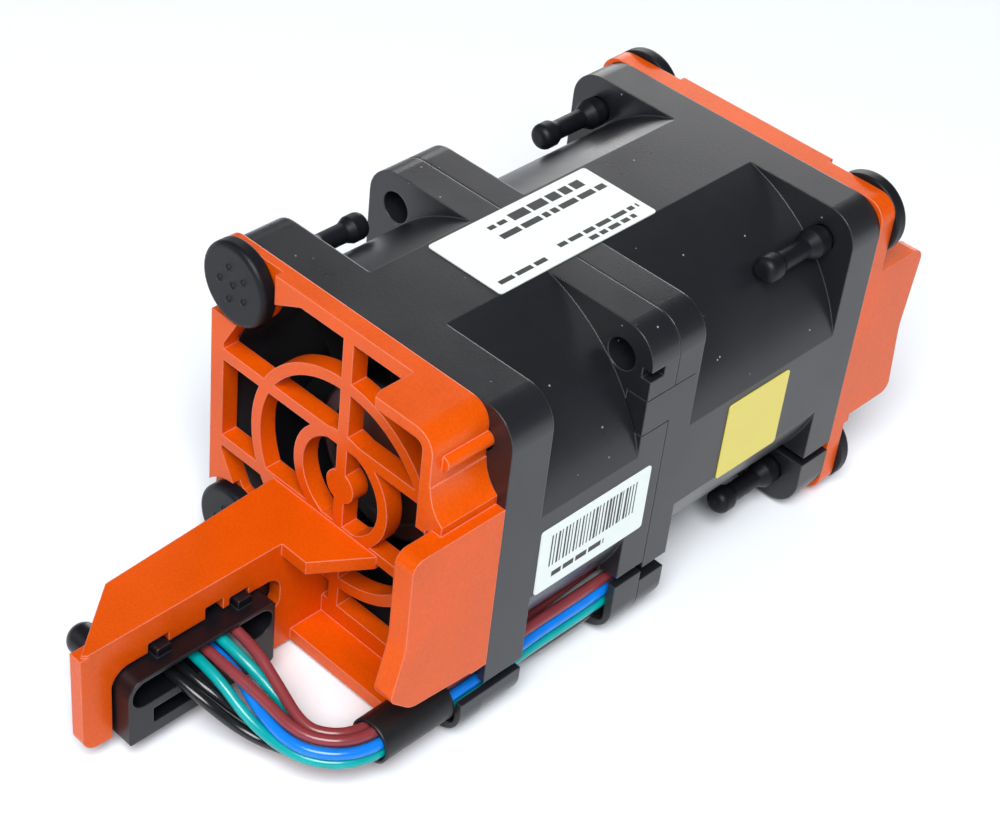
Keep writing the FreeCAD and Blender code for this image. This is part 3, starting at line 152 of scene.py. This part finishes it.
def begin(name):
    """A material whose tree holds only its output."""
    material = bpy.data.materials.new(name)
    material.use_nodes = True
    tree = material.node_tree
    tree.nodes.clear()
    output = add(tree, "ShaderNodeOutputMaterial")
    return material, tree, output


def worn_and_highlighted_edges(tree, edge, tint, pale):
    """The tint, paler where the rounded normal leaves the face's own: partly rubbed wear, partly a painted
    highlight along the edges.
    """
    face = add(tree, "ShaderNodeNewGeometry").outputs["Normal"]
    lean = add(tree, "ShaderNodeVectorMath", {0: edge, 1: face}, operation="DOT_PRODUCT")
    share = add(tree, "ShaderNodeMapRange", {"Value": lean.outputs["Value"], "From Min": WEAR_AND_HIGHLIGHT_FROM,
                                             "From Max": WEAR_AND_HIGHLIGHT_FULL, "To Max": WEAR_AND_HIGHLIGHT_SHARE})
    return add(tree, "ShaderNodeMix", {0: share.outputs[0], 6: tint, 7: pale}, data_type="RGBA").outputs[2]


def dusted(tree, place, tint):
    """The tint with a few pale specks of dust, a fifth of a millimetre across."""
    cells = add(tree, "ShaderNodeTexVoronoi", {"Vector": place, "Scale": 1 / (DUST_GRID_MM * MM)})
    speck = add(tree, "ShaderNodeMath", {0: cells.outputs["Distance"], 1: DUST_SPECK},
                operation="LESS_THAN")
    chance = add(tree, "ShaderNodeSeparateColor", {0: cells.outputs["Color"]})
    few = add(tree, "ShaderNodeMath", {0: chance.outputs[0], 1: DUST_RARITY}, operation="GREATER_THAN")
    share = add(tree, "ShaderNodeMath", {0: speck.outputs[0], 1: few.outputs[0]}, operation="MULTIPLY")
    return add(tree, "ShaderNodeMix", {0: share.outputs[0], 6: tint, 7: linear(DUST_GREY)},
               data_type="RGBA").outputs[2]


def moulded(name, shade, rough, grain_mm, grain_depth_mm, round_mm=0.0, rub_and_highlight=0.0, dust=False,
            **shader):
    """A moulded plastic or rubber: two close shades in soft clouds, and a fine eroded grain."""
    material, tree, output = begin(name)
    place = add(tree, "ShaderNodeTexCoord").outputs["Object"]
    clouds = add(tree, "ShaderNodeTexNoise", {"Vector": place, "Scale": 1 / (CLOUD_MM * MM),
                                              "Detail": 3.0})
    speck = add(tree, "ShaderNodeTexNoise", {"Vector": place, "Scale": 1 / (grain_mm * MM), "Detail": 2.0})
    both = add(tree, "ShaderNodeMath", {0: clouds.outputs["Fac"], 1: speck.outputs["Fac"]},
               operation="ADD")
    share = add(tree, "ShaderNodeMapRange", {"Value": both.outputs[0], "From Min": 0.6, "From Max": 1.4})
    darker, brighter = (scaled(shade, factor) for factor in CLOUD_SHADES)
    tint = add(tree, "ShaderNodeMix", {0: share.outputs[0], 6: darker, 7: brighter},
               data_type="RGBA").outputs[2]
    gloss = add(tree, "ShaderNodeMapRange", {"Value": clouds.outputs["Fac"], "From Min": 0.3,
                                             "From Max": 0.7, "To Min": rough - 0.04,
                                             "To Max": rough + 0.05})
    bump = add(tree, "ShaderNodeBump", {"Height": speck.outputs["Fac"], "Strength": 1.0,
                                        "Distance": grain_depth_mm * MM})
    if round_mm:
        edge = add(tree, "ShaderNodeBevel", {"Radius": round_mm * MM}, samples=6).outputs["Normal"]
        tree.links.new(edge, bump.inputs["Normal"])
        # paler rounded edges: partly rubbed wear, partly a painted edge highlight
        tint = worn_and_highlighted_edges(tree, edge, tint, lighter(shade, rub_and_highlight))
    if dust:
        tint = dusted(tree, place, tint)
    surface = add(tree, "ShaderNodeBsdfPrincipled", {"Base Color": tint, "Roughness": gloss.outputs[0],
                                                     "Normal": bump.outputs["Normal"], **shader})
    tree.links.new(surface.outputs["BSDF"], output.inputs["Surface"])
    return material


def metal(name, tone, rough, brush_mm):
    """Bare metal with fine turned or rolled lines."""
    material, tree, output = begin(name)
    place = add(tree, "ShaderNodeTexCoord").outputs["Object"]
    lines = add(tree, "ShaderNodeTexNoise", {"Vector": place, "Scale": 1 / (brush_mm * MM), "Detail": 4.0})
    gloss = add(tree, "ShaderNodeMapRange", {"Value": lines.outputs["Fac"], "To Min": rough - 0.08,
                                             "To Max": rough + 0.08})
    surface = add(tree, "ShaderNodeBsdfPrincipled", {"Base Color": linear(tone), "Metallic": 1.0,
                                                     "Roughness": gloss.outputs[0]})
    tree.links.new(surface.outputs["BSDF"], output.inputs["Surface"])
    return material


def film(name, tone):
    """Printed polyester film: smooth, with the faintest unevenness of its glue."""
    material, tree, output = begin(name)
    place = add(tree, "ShaderNodeTexCoord").outputs["Object"]
    glue = add(tree, "ShaderNodeTexNoise", {"Vector": place, "Scale": 1 / (GLUE_MM * MM), "Detail": 1.0})
    bump = add(tree, "ShaderNodeBump", {"Height": glue.outputs["Fac"], "Strength": 0.6,
                                        "Distance": GLUE_DEPTH_MM * MM})
    surface = add(tree, "ShaderNodeBsdfPrincipled", {"Base Color": tone, "Roughness": 0.42,
                                                     "Normal": bump.outputs["Normal"]})
    tree.links.new(surface.outputs["BSDF"], output.inputs["Surface"])
    return material


def scaled(tone, share):
    """A colour made darker or brighter by a factor."""
    return (*(min(channel * share, 1.0) for channel in tone[:3]), 1.0)


def lighter(tone, share):
    """A colour moved towards white by a share."""
    return (*(channel + (1 - channel) * share for channel in tone[:3]), 1.0)


def finishes():
    """Every material of the module, by a short name."""
    c = colours()
    edge = sizes().edge_round / MM
    wires = {name: moulded("pvc_insulation_" + name, tuple(tone), 0.2, 2.2, 0.02)
             for name, tone in (("black", c.wire_black), ("teal", c.wire_teal), ("red", c.wire_red),
                                ("blue", c.wire_blue), ("grey", c.wire_grey))}
    return {
        # glass-filled PBT, injection moulded in a spark-eroded tool: satin, with a fine dry grain, its
        # corners painted a paler grey, partly rubbed wear and partly a painted highlight, and a little
        # dust on it
        "frame": moulded("moulded_black_pbt", tuple(c.frame_black), 0.31, 0.28, 0.009, edge, 0.05, True),
        # dyed ABS with a little pearl: satin, warm where it is seen straight on and pale where light
        # grazes it, with pale corners that are mostly a painted edge highlight and partly rubbed wear
        "guard": moulded("moulded_orange_abs", tuple(c.guard_orange), 0.31, 0.3, 0.006, edge, 0.22,
                         **{"Specular Tint": linear("#FFB478")}),
        # soft thermoplastic rubber: dark, with only a faint broad sheen, and faintly paler edges, partly
        # rubbed and partly a painted highlight
        "rubber": moulded("moulded_black_rubber", tuple(c.rubber), 0.44, 0.35, 0.012, edge, 0.02,
                          **{"Specular IOR Level": 0.25}),
        # the same glass-filled plastic, smoother because air runs over it
        "impeller": moulded("moulded_impeller_pbt", tuple(c.impeller_black), 0.36, 0.3, 0.006),
        # nylon from a polished tool: dark and smooth, with faintly paler edges, partly rubbed and partly a
        # painted highlight
        "connector": moulded("moulded_black_nylon", tuple(c.connector_black), 0.32, 0.3, 0.006, edge, 0.03,
                             **{"Specular IOR Level": 0.34}),
        # cross-linked polyolefin, shrunk on: smooth and slightly waxy, uneven over the wires under it
        "sleeve": moulded("heat_shrink_polyolefin", tuple(c.sleeve_black), 0.42, 0.9, 0.03,
                          **{"Specular IOR Level": 0.38}),
        "white_film": film("white_polyester_film", tuple(c.sticker_white)),
        "yellow_film": film("yellow_polyester_film", tuple(c.sticker_yellow)),
        "ink": film("printing_ink", tuple(c.ink)),
        "steel": metal("ground_steel", "#B8BABC", 0.3, 0.2),
        "bearing_brass": metal("turned_brass", "#C8A258", 0.34, 0.2),
        "gold": metal("gold_plating", "#E0B45C", 0.25, 0.3),
        "lamination": metal("electrical_steel", "#7C8086", 0.45, 0.15),
        "magnet": moulded("bonded_ferrite", linear("#343538"), 0.6, 0.3, 0.02),
        "winding": moulded("enamelled_copper", linear("#A85422"), 0.3, 0.3, 0.06),
        "board": moulded("circuit_board_laminate", linear("#1F593A"), 0.4, 0.5, 0.01),
        "wires": wires,
    }


FINISH = {}

NODE_FINISH = {
    "front_fan_frame": "frame", "rear_fan_frame": "frame", "front_guard": "guard", "rear_guard": "guard",
    "front_isolators": "rubber", "rear_isolators": "rubber", "connector_housing": "connector",
    "connector_contacts": "gold",
}
MOTOR_FINISH = {
    "impeller": "impeller", "rotor_yoke": "steel", "rotor_magnet": "magnet", "rotor_shaft": "steel",
    "shaft_clip": "steel", "bearing_tube": "bearing_brass", "bearings": "steel",
    "stator_core": "lamination", "stator_coils": "winding", "circuit_board": "board",
}


# ---------------------------------------------------------------- mesh helpers
def mesh_piece(name, bm, material, body="module"):
    """A finished piece from a bmesh, riding on a body."""
    mesh = bpy.data.meshes.new(name)
    bm.to_mesh(mesh)
    bm.free()
    piece = bpy.data.objects.new(name, mesh)
    bpy.context.collection.objects.link(piece)
    mesh.materials.append(material)
    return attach(piece, body)


def plain_mesh(source, name, material):
    """The evaluated shape of an object as a plain mesh object, in place of the object itself."""
    bpy.context.view_layer.update()
    graph = bpy.context.evaluated_depsgraph_get()
    mesh = bpy.data.meshes.new_from_object(source.evaluated_get(graph))
    bpy.data.objects.remove(source)
    mesh.name = name
    mesh.materials.clear()
    mesh.materials.append(material)
    piece = bpy.data.objects.new(name, mesh)
    bpy.context.collection.objects.link(piece)
    return piece


# ---------------------------------------------------------------- stickers
def sheet_place(node):
    """Middle, both edges as vectors, and outward normal of a flat sticker's outer face."""
    low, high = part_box(node)
    span = high - low
    thin = min(range(3), key=lambda axis: span[axis])
    normal = Vector((0, 0, 0))
    normal[thin] = 1
    middle = (low + high) / 2
    middle[thin] = high[thin]
    along = Vector((0, 1, 0))
    across = normal.cross(along)
    return middle, along * span.y, across * abs(across.dot(span)), normal


def printed_bars(name, places, face):
    """Flat bars of ink on a sticker, each (start, end) along and (start, end) across, in its shares."""
    middle, along, across, normal = face
    bm = bmesh.new()
    lift = normal * sizes().ink_rise
    for (a0, a1), (b0, b1) in places:
        corners = []
        for a, b in ((a0, b0), (a1, b0), (a1, b1), (a0, b1)):
            corners.append(bm.verts.new(middle + along * (a - 0.5) + across * (b - 0.5) + lift))
        face_made = bm.faces.new(corners)
        face_made.normal_update()
        if face_made.normal.dot(normal) < 0:
            face_made.normal_flip()
    made = bmesh.ops.extrude_face_region(bm, geom=bm.faces[:])
    for part in made["geom"]:
        if isinstance(part, bmesh.types.BMVert):
            part.co -= lift * 0.9
    bmesh.ops.recalc_face_normals(bm, faces=bm.faces[:])
    return mesh_piece(name, bm, FINISH["ink"])


DASH_SHORTEST = 0.03      # shares of the sticker's length
DASH_LONGEST = 0.12
DASH_GAP = 0.018
CODE_SEED = 7
CODE_START = 0.10
CODE_SPAN = 0.80
CODE_BAR = (0.008, 0.021)
CODE_BAND = (0.36, 0.86)


def row_of_dashes(start, end, low, high, seed):
    """Short dashes of uneven length in a row, as print looks from too far away to read."""
    draw = random.Random(seed)
    dashes = []
    at = start
    while at < end:
        stop = min(at + draw.uniform(DASH_SHORTEST, DASH_LONGEST), end)
        dashes.append(((at, stop), (low, high)))
        at = stop + DASH_GAP
    return dashes


def rating_lines():
    """Rows of dashes where a rating sticker has its print."""
    rows = ((0.44, 0.90, 0.77, 0.89), (0.30, 0.41, 0.80, 0.86), (0.30, 0.97, 0.61, 0.69),
            (0.45, 0.97, 0.17, 0.23), (0.60, 0.90, 0.06, 0.12), (0.05, 0.34, 0.10, 0.16))
    return [dash for seed, row in enumerate(rows) for dash in row_of_dashes(*row, seed)]


def code_lines(count):
    """A row of plain bars of uneven width with a row of dashes under it."""
    draw = random.Random(CODE_SEED)
    rows = row_of_dashes(0.14, 0.62, 0.16, 0.24, 5)
    for k in range(count):
        at = CODE_START + CODE_SPAN * k / count
        rows.append(((at, at + draw.uniform(*CODE_BAR)), CODE_BAND))
    return rows


# ---------------------------------------------------------------- lead
# the part's origin in the fan's own millimetres, which start on its axis at the front face
ORIGIN = (0.0, 16.5, -20.7)
RECESS_FLOOR = -1.9        # where the wires start, inside the connector's recess
MOUTH_RUN = 4.5            # how far they run straight out of it
BUNDLE = (17.0, -15.75)    # the sleeve's middle (x, z)
BUNDLE_RADIUS = 1.45       # from that middle to each outer wire
LOOP_RADIUS = 6.2
LOOP_END = -11.9
LOOP_STEPS = ((-75, 0.25), (-45, 0.1), (-15, 0.0))     # degrees round the loop, and the rise there
LOOP_HALF_STEP = 15        # degrees: the control points stand outside the loop by its cosine
SLEEVE_FRONT = -12.6
SLEEVE_BACK = -3.4
SLEEVE_ENTRY = 4.8         # ahead of the sleeve's back end
SLEEVE_EXIT = 0.8          # behind it
SLEEVE_SAG = 0.05
SLEEVE_UNEVEN_MM = 0.12
# how far back (y) and how much higher than the wire's own place
CHANNEL = ((2.4, 0.04), (8.6, 0.0), (16.5, -0.1), (23.3, 0.0))

# name, colour, mouth (y, z), swing point (x, y, z), bearing in the sleeve in degrees or None for the
# middle wire, place in the channel (x, z), place at the end (x, z)
WIRES = (
    ("wire_black_a", "black", (-23.3, -12.9), (7.6, -20.2, -17.4), -77.1, (17.6, -17.45), (17.6, -17.45)),
    ("wire_black_b", "black", (-21.9, -13.1), (7.0, -18.8, -17.3), -128.6, (16.25, -17.45),
     (16.25, -17.45)),
    ("wire_teal_a", "teal", (-20.4, -12.2), (7.6, -20.0, -15.5), -25.7, (18.1, -16.1), (18.1, -16.1)),
    ("wire_teal_b", "teal", (-17.4, -11.4), (7.4, -16.2, -14.7), 180.0, (15.5, -16.3), (15.5, -16.3)),
    ("wire_red_a", "red", (-15.6, -11.2), (7.4, -16.3, -12.9), 128.6, (15.4, -14.95), (15.4, -14.95)),
    ("wire_red_b", "red", (-19.1, -12.0), (7.6, -18.5, -13.1), 77.1, (17.8, -13.15), (17.8, -13.15)),
    ("wire_blue", "blue", (-17.8, -13.1), (7.6, -19.0, -14.45), 25.7, (18.15, -14.4), (18.15, -14.4)),
    ("wire_grey", "grey", (-15.2, -13.0), (6.6, -17.75, -15.6), None, (17.0, -15.3), (16.7, -13.9)),
)


def in_part(point):
    """A point given in the fan's own millimetres, in the part's frame in metres."""
    return Vector([(value - start) * MM for value, start in zip(point, ORIGIN)])


def wire_points(mouth, swing, bearing, channel, end):
    """The route of one wire: out of the recess, round the loop, through the sleeve and along the duct."""
    turn = math.radians(bearing or 0)
    ring = 0 if bearing is None else BUNDLE_RADIUS
    x = BUNDLE[0] + ring * math.cos(turn)
    z = BUNDLE[1] + ring * math.sin(turn)
    reach = (LOOP_RADIUS + x - BUNDLE[0]) / math.cos(math.radians(LOOP_HALF_STEP))
    points = [(RECESS_FLOOR,) + mouth, (RECESS_FLOOR + MOUTH_RUN,) + mouth, swing]
    for degrees, rise in LOOP_STEPS:
        angle = math.radians(degrees)
        points.append((BUNDLE[0] - LOOP_RADIUS + reach * math.cos(angle),
                       LOOP_END + reach * math.sin(angle), z + rise))
    points += [(x, SLEEVE_BACK - SLEEVE_ENTRY, z - SLEEVE_SAG), (x, SLEEVE_BACK + SLEEVE_EXIT, z)]
    places = ((x, z), channel, end, end)
    for (px, pz), (y, rise) in zip(places, CHANNEL):
        points.append((px, y, pz + rise))
    return [in_part(point) for point in points]


def spline_piece(name, points, radius, material):
    """A smooth round wire whose control points are the route's points."""
    curve = bpy.data.curves.new(name, "CURVE")
    curve.dimensions = "3D"
    curve.bevel_depth = radius
    curve.bevel_resolution = 5
    curve.resolution_u = 10
    curve.use_fill_caps = True
    spline = curve.splines.new("NURBS")
    spline.points.add(len(points) - 1)
    for spot, point in zip(spline.points, points):
        spot.co = (*point, 1.0)
    spline.order_u = 3
    spline.use_endpoint_u = True
    curve.materials.append(material)
    piece = bpy.data.objects.new(name, curve)
    bpy.context.collection.objects.link(piece)
    return piece


def spline_length(piece):
    """Length of a curve piece's own line."""
    bare = piece.data.copy()
    bare.bevel_depth = 0
    probe = bpy.data.objects.new("probe", bare)
    bpy.context.collection.objects.link(probe)
    bpy.context.view_layer.update()
    graph = bpy.context.evaluated_depsgraph_get()
    mesh = bpy.data.meshes.new_from_object(probe.evaluated_get(graph))
    ends = (edge.vertices for edge in mesh.edges)
    total = sum((mesh.vertices[a].co - mesh.vertices[b].co).length for a, b in ends)
    bpy.data.objects.remove(probe)
    bpy.data.curves.remove(bare)
    bpy.data.meshes.remove(mesh)
    return total


def sleeve_tree(material):
    """Geometry nodes: a walled tube along a line, drawn in a little and unevenly by the wires under it."""
    tree = bpy.data.node_groups.new("shrunk_sleeve", "GeometryNodeTree")
    tree.interface.new_socket("Geometry", in_out="INPUT", socket_type="NodeSocketGeometry")
    across = tree.interface.new_socket("Radius", in_out="INPUT", socket_type="NodeSocketFloat")
    wall = tree.interface.new_socket("Wall", in_out="INPUT", socket_type="NodeSocketFloat")
    uneven = tree.interface.new_socket("Unevenness", in_out="INPUT", socket_type="NodeSocketFloat")
    across.default_value = 2.5 * MM
    wall.default_value = 0.35 * MM
    uneven.default_value = 0.1 * MM
    tree.interface.new_socket("Geometry", in_out="OUTPUT", socket_type="NodeSocketGeometry")
    given = add(tree, "NodeGroupInput")
    fine = add(tree, "GeometryNodeResampleCurve", {"Curve": given.outputs["Geometry"], "Count": 40})
    ring = add(tree, "GeometryNodeCurvePrimitiveCircle", {"Resolution": 64,
                                                          "Radius": given.outputs["Radius"]})
    tube = add(tree, "GeometryNodeCurveToMesh", {"Curve": fine.outputs["Curve"],
                                                 "Profile Curve": ring.outputs["Curve"]})
    spot = add(tree, "GeometryNodeInputPosition")
    normal = add(tree, "GeometryNodeInputNormal")
    squeeze = add(tree, "ShaderNodeVectorMath", {0: spot.outputs[0], 1: (1.0, 0.3, 1.0)},
                  operation="MULTIPLY")
    noise = add(tree, "ShaderNodeTexNoise", {"Vector": squeeze.outputs[0], "Scale": 1 / (2.4 * MM),
                                             "Detail": 1.0})
    depth = add(tree, "ShaderNodeMath", {0: noise.outputs["Fac"], 1: given.outputs["Unevenness"]},
                operation="MULTIPLY")
    inward = add(tree, "ShaderNodeMath", {0: depth.outputs[0], 1: -1.0}, operation="MULTIPLY")
    shift = add(tree, "ShaderNodeVectorMath", {0: normal.outputs[0], "Scale": inward.outputs[0]},
                operation="SCALE")
    drawn = add(tree, "GeometryNodeSetPosition", {"Geometry": tube.outputs["Mesh"],
                                                  "Offset": shift.outputs[0]})
    thick = add(tree, "ShaderNodeMath", {0: given.outputs["Wall"], 1: -1.0}, operation="MULTIPLY")
    walled = add(tree, "GeometryNodeExtrudeMesh", {"Mesh": drawn.outputs["Geometry"],
                                                   "Offset Scale": thick.outputs[0], "Individual": False})
    both = add(tree, "GeometryNodeJoinGeometry")
    tree.links.new(walled.outputs["Mesh"], both.inputs[0])
    outer = add(tree, "GeometryNodeFlipFaces", {"Mesh": drawn.outputs["Geometry"]})
    tree.links.new(outer.outputs["Mesh"], both.inputs[0])
    welded = add(tree, "GeometryNodeMergeByDistance", {"Geometry": both.outputs[0],
                                                       "Distance": 0.001 * MM})
    real = add(tree, "GeometryNodeRealizeInstances", {"Geometry": welded.outputs[0]})
    dressed = add(tree, "GeometryNodeSetMaterial", {"Geometry": real.outputs[0], "Material": material})
    output = add(tree, "NodeGroupOutput")
    tree.links.new(dressed.outputs[0], output.inputs[0])
    return tree


def socket_name(tree, label):
    """The identifier of a tree's named input."""
    for item in tree.interface.items_tree:
        if item.name == label and item.in_out == "INPUT":
            return item.identifier
    raise KeyError(label)


def line_object(name, points):
    """A straight-sided bare line, for a tree to build along."""
    curve = bpy.data.curves.new(name, "CURVE")
    curve.dimensions = "3D"
    spline = curve.splines.new("POLY")
    spline.points.add(len(points) - 1)
    for spot, point in zip(spline.points, points):
        spot.co = (*point, 1.0)
    piece = bpy.data.objects.new(name, curve)
    bpy.context.collection.objects.link(piece)
    return piece


# ---------------------------------------------------------------- operators
class FANMODULE_OT_finishes(bpy.types.Operator):
    """Makes the materials and puts them on the solid parts"""
    bl_idname = "fan_module.finishes"
    bl_label = "Finish the solid parts"

    def execute(self, context):
        FINISH.update(finishes())
        wanted = dict(NODE_FINISH)
        for prefix in ("front", "rear"):
            for part, finish in MOTOR_FINISH.items():
                wanted["%s_%s" % (prefix, part)] = finish
        for node, finish in wanted.items():
            mesh = NODES[node].data
            mesh.materials.clear()
            mesh.materials.append(FINISH[finish])
        return {"FINISHED"}


class FANMODULE_OT_stickers(bpy.types.Operator):
    """Makes the three stickers and their plain printed bars"""
    bl_idname = "fan_module.stickers"
    bl_label = "Stickers"

    def execute(self, context):
        for node, finish in (("rating_label", "white_film"), ("code_label", "white_film"),
                             ("notice_label", "yellow_film")):
            mesh = NODES[node].data
            mesh.materials.clear()
            mesh.materials.append(FINISH[finish])
        printed_bars("rating_print", rating_lines(), sheet_place("rating_label"))
        printed_bars("code_print", code_lines(sizes().code_bars), sheet_place("code_label"))
        return {"FINISHED"}


class FANMODULE_OT_lead(bpy.types.Operator):
    """Makes the eight wires and the heat-shrink sleeve"""
    bl_idname = "fan_module.lead"
    bl_label = "Lead"

    def execute(self, context):
        s = sizes()
        for name, tone, mouth, swing, bearing, channel, end in WIRES:
            points = wire_points(mouth, swing, bearing, channel, end)
            piece = spline_piece(name + "_insulated", points, s.wire_across / 2, FINISH["wires"][tone])
            long = spline_length(piece)
            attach(piece, "module")
            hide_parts(name)
        tree = sleeve_tree(FINISH["sleeve"])
        line = line_object("sleeve_line", [in_part((BUNDLE[0], SLEEVE_FRONT, BUNDLE[1])),
                                           in_part((BUNDLE[0], SLEEVE_BACK, BUNDLE[1]))])
        shrink = line.modifiers.new("shrink", "NODES")
        shrink.node_group = tree
        shrink[socket_name(tree, "Radius")] = s.sleeve_across / 2
        shrink[socket_name(tree, "Wall")] = s.sleeve_wall
        shrink[socket_name(tree, "Unevenness")] = SLEEVE_UNEVEN_MM * MM
        sleeve = plain_mesh(line, "sleeve_shrunk", FINISH["sleeve"])
        for polygon in sleeve.data.polygons:
            polygon.use_smooth = True
        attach(sleeve, "module")
        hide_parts("wire_sleeve")
        return {"FINISHED"}


class FANMODULE_OT_stage(bpy.types.Operator):
    """Makes the pale floor, the soft lights and the camera"""
    bl_idname = "fan_module.stage"
    bl_label = "Studio"

    def execute(self, context):
        make_floor()
        make_world()
        make_lights()
        make_camera()
        bpy.context.scene.view_settings.view_transform = "Standard"
        return {"FINISHED"}


# ---------------------------------------------------------------- studio
FLOOR_SIZE = 3.0
FLOOR_WHITE = "#F3F7FC"
ROOM_WHITE = "#F4F7FF"
ROOM_LOW = 0.36            # the room's light at the horizon
ROOM_HIGH = 0.14           # and from half-way up
AIM = (0, 0, 0.02)         # the module's middle
# name, place, size, power
LIGHTS = (
    ("key_light", (0.34, -0.42, 0.72), 0.5, 11.0),
    ("fill_light", (-0.6, -0.5, 0.45), 0.4, 0.6),
    ("back_light", (-0.5, 0.75, 0.24), 0.5, 3.0),
)
CAMERA_PLACE = (118.5, -119.95, 146.65)      # in the fan's own millimetres
CAMERA_AZIMUTH = 41.98
CAMERA_ELEVATION = 39.09
CAMERA_ROLL = 5.65
CAMERA_LENS = 79.87
CAMERA_SHIFT = (0.06, 0.0)
CAMERA_NEAR = 0.01


def make_floor():
    """Matt white paper under the module."""
    material, tree, output = begin("studio_paper")
    surface = add(tree, "ShaderNodeBsdfPrincipled", {"Base Color": linear(FLOOR_WHITE), "Roughness": 0.9})
    tree.links.new(surface.outputs["BSDF"], output.inputs["Surface"])
    bm = bmesh.new()
    bmesh.ops.create_grid(bm, x_segments=1, y_segments=1, size=FLOOR_SIZE / 2)
    mesh = bpy.data.meshes.new("floor")
    bm.to_mesh(mesh)
    bm.free()
    mesh.materials.append(material)
    floor = bpy.data.objects.new("floor", mesh)
    bpy.context.collection.objects.link(floor)


def make_world():
    """A white room whose ceiling is darker than its walls."""
    world = bpy.data.worlds.new("soft_room")
    bpy.context.scene.world = world
    world.use_nodes = True
    tree = world.node_tree
    tree.nodes.clear()
    way = add(tree, "ShaderNodeTexCoord")
    height = add(tree, "ShaderNodeSeparateXYZ", {0: way.outputs["Generated"]})
    share = add(tree, "ShaderNodeMapRange", {"Value": height.outputs["Z"], "From Min": 0.0,
                                             "From Max": 0.5, "To Min": ROOM_LOW, "To Max": ROOM_HIGH})
    sky = add(tree, "ShaderNodeBackground", {"Color": linear(ROOM_WHITE), "Strength": share.outputs[0]})
    output = add(tree, "ShaderNodeOutputWorld")
    tree.links.new(sky.outputs[0], output.inputs["Surface"])


def make_lights():
    """Large soft lamps, all aimed at the module's middle."""
    for name, place, size, power in LIGHTS:
        lamp = bpy.data.lights.new(name, "AREA")
        lamp.size = size
        lamp.energy = power
        lit = bpy.data.objects.new(name, lamp)
        lit.location = place
        lit.rotation_euler = (Vector(AIM) - Vector(place)).to_track_quat("-Z", "Y").to_euler()
        bpy.context.collection.objects.link(lit)


def make_camera():
    """A long lens from the front right, a little rolled."""
    lens = bpy.data.cameras.new("camera")
    lens.lens = CAMERA_LENS
    lens.shift_x, lens.shift_y = CAMERA_SHIFT
    lens.clip_start = CAMERA_NEAR
    camera = bpy.data.objects.new("camera", lens)
    turn = (Matrix.Rotation(math.radians(CAMERA_AZIMUTH), 4, "Z")
            @ Matrix.Rotation(math.radians(90 - CAMERA_ELEVATION), 4, "X")
            @ Matrix.Rotation(math.radians(CAMERA_ROLL), 4, "Z"))
    camera.matrix_world = Matrix.Translation(in_part(CAMERA_PLACE)) @ turn
    bpy.context.collection.objects.link(camera)
    bpy.context.scene.camera = camera


# ---------------------------------------------------------------- panel and registration
class FANMODULE_PT_panel(bpy.types.Panel):
    """The module's colours, sizes and steps"""
    bl_label = "Fan module"
    bl_idname = "FANMODULE_PT_panel"
    bl_space_type = "VIEW_3D"
    bl_region_type = "UI"
    bl_category = "Fan module"

    def draw(self, context):
        for group in (colours(), sizes()):
            box = self.layout.box()
            for name in group.__annotations__:
                box.prop(group, name)
        for operator in OPERATORS:
            self.layout.operator(operator.bl_idname)


OPERATORS = (FANMODULE_OT_finishes, FANMODULE_OT_stickers, FANMODULE_OT_lead, FANMODULE_OT_stage)
CLASSES = (FanModuleColours, FanModuleSizes) + OPERATORS + (FANMODULE_PT_panel,)


def register():
    """Registers the classes and hangs the two groups on the scene."""
    for kind in CLASSES:
        bpy.utils.register_class(kind)
    bpy.types.Scene.fan_module_colours = PointerProperty(type=FanModuleColours)
    bpy.types.Scene.fan_module_sizes = PointerProperty(type=FanModuleSizes)


def unregister():
    """Takes everything that register added away again."""
    del bpy.types.Scene.fan_module_sizes
    del bpy.types.Scene.fan_module_colours
    for kind in reversed(CLASSES):
        bpy.utils.unregister_class(kind)


def main():
    """Builds the whole scene and keeps the two boxes."""
    register()
    bpy.ops.fan_module.finishes()
    bpy.ops.fan_module.stickers()
    bpy.ops.fan_module.lead()
    bpy.ops.fan_module.stage()


if __name__ == "__main__":
    main()
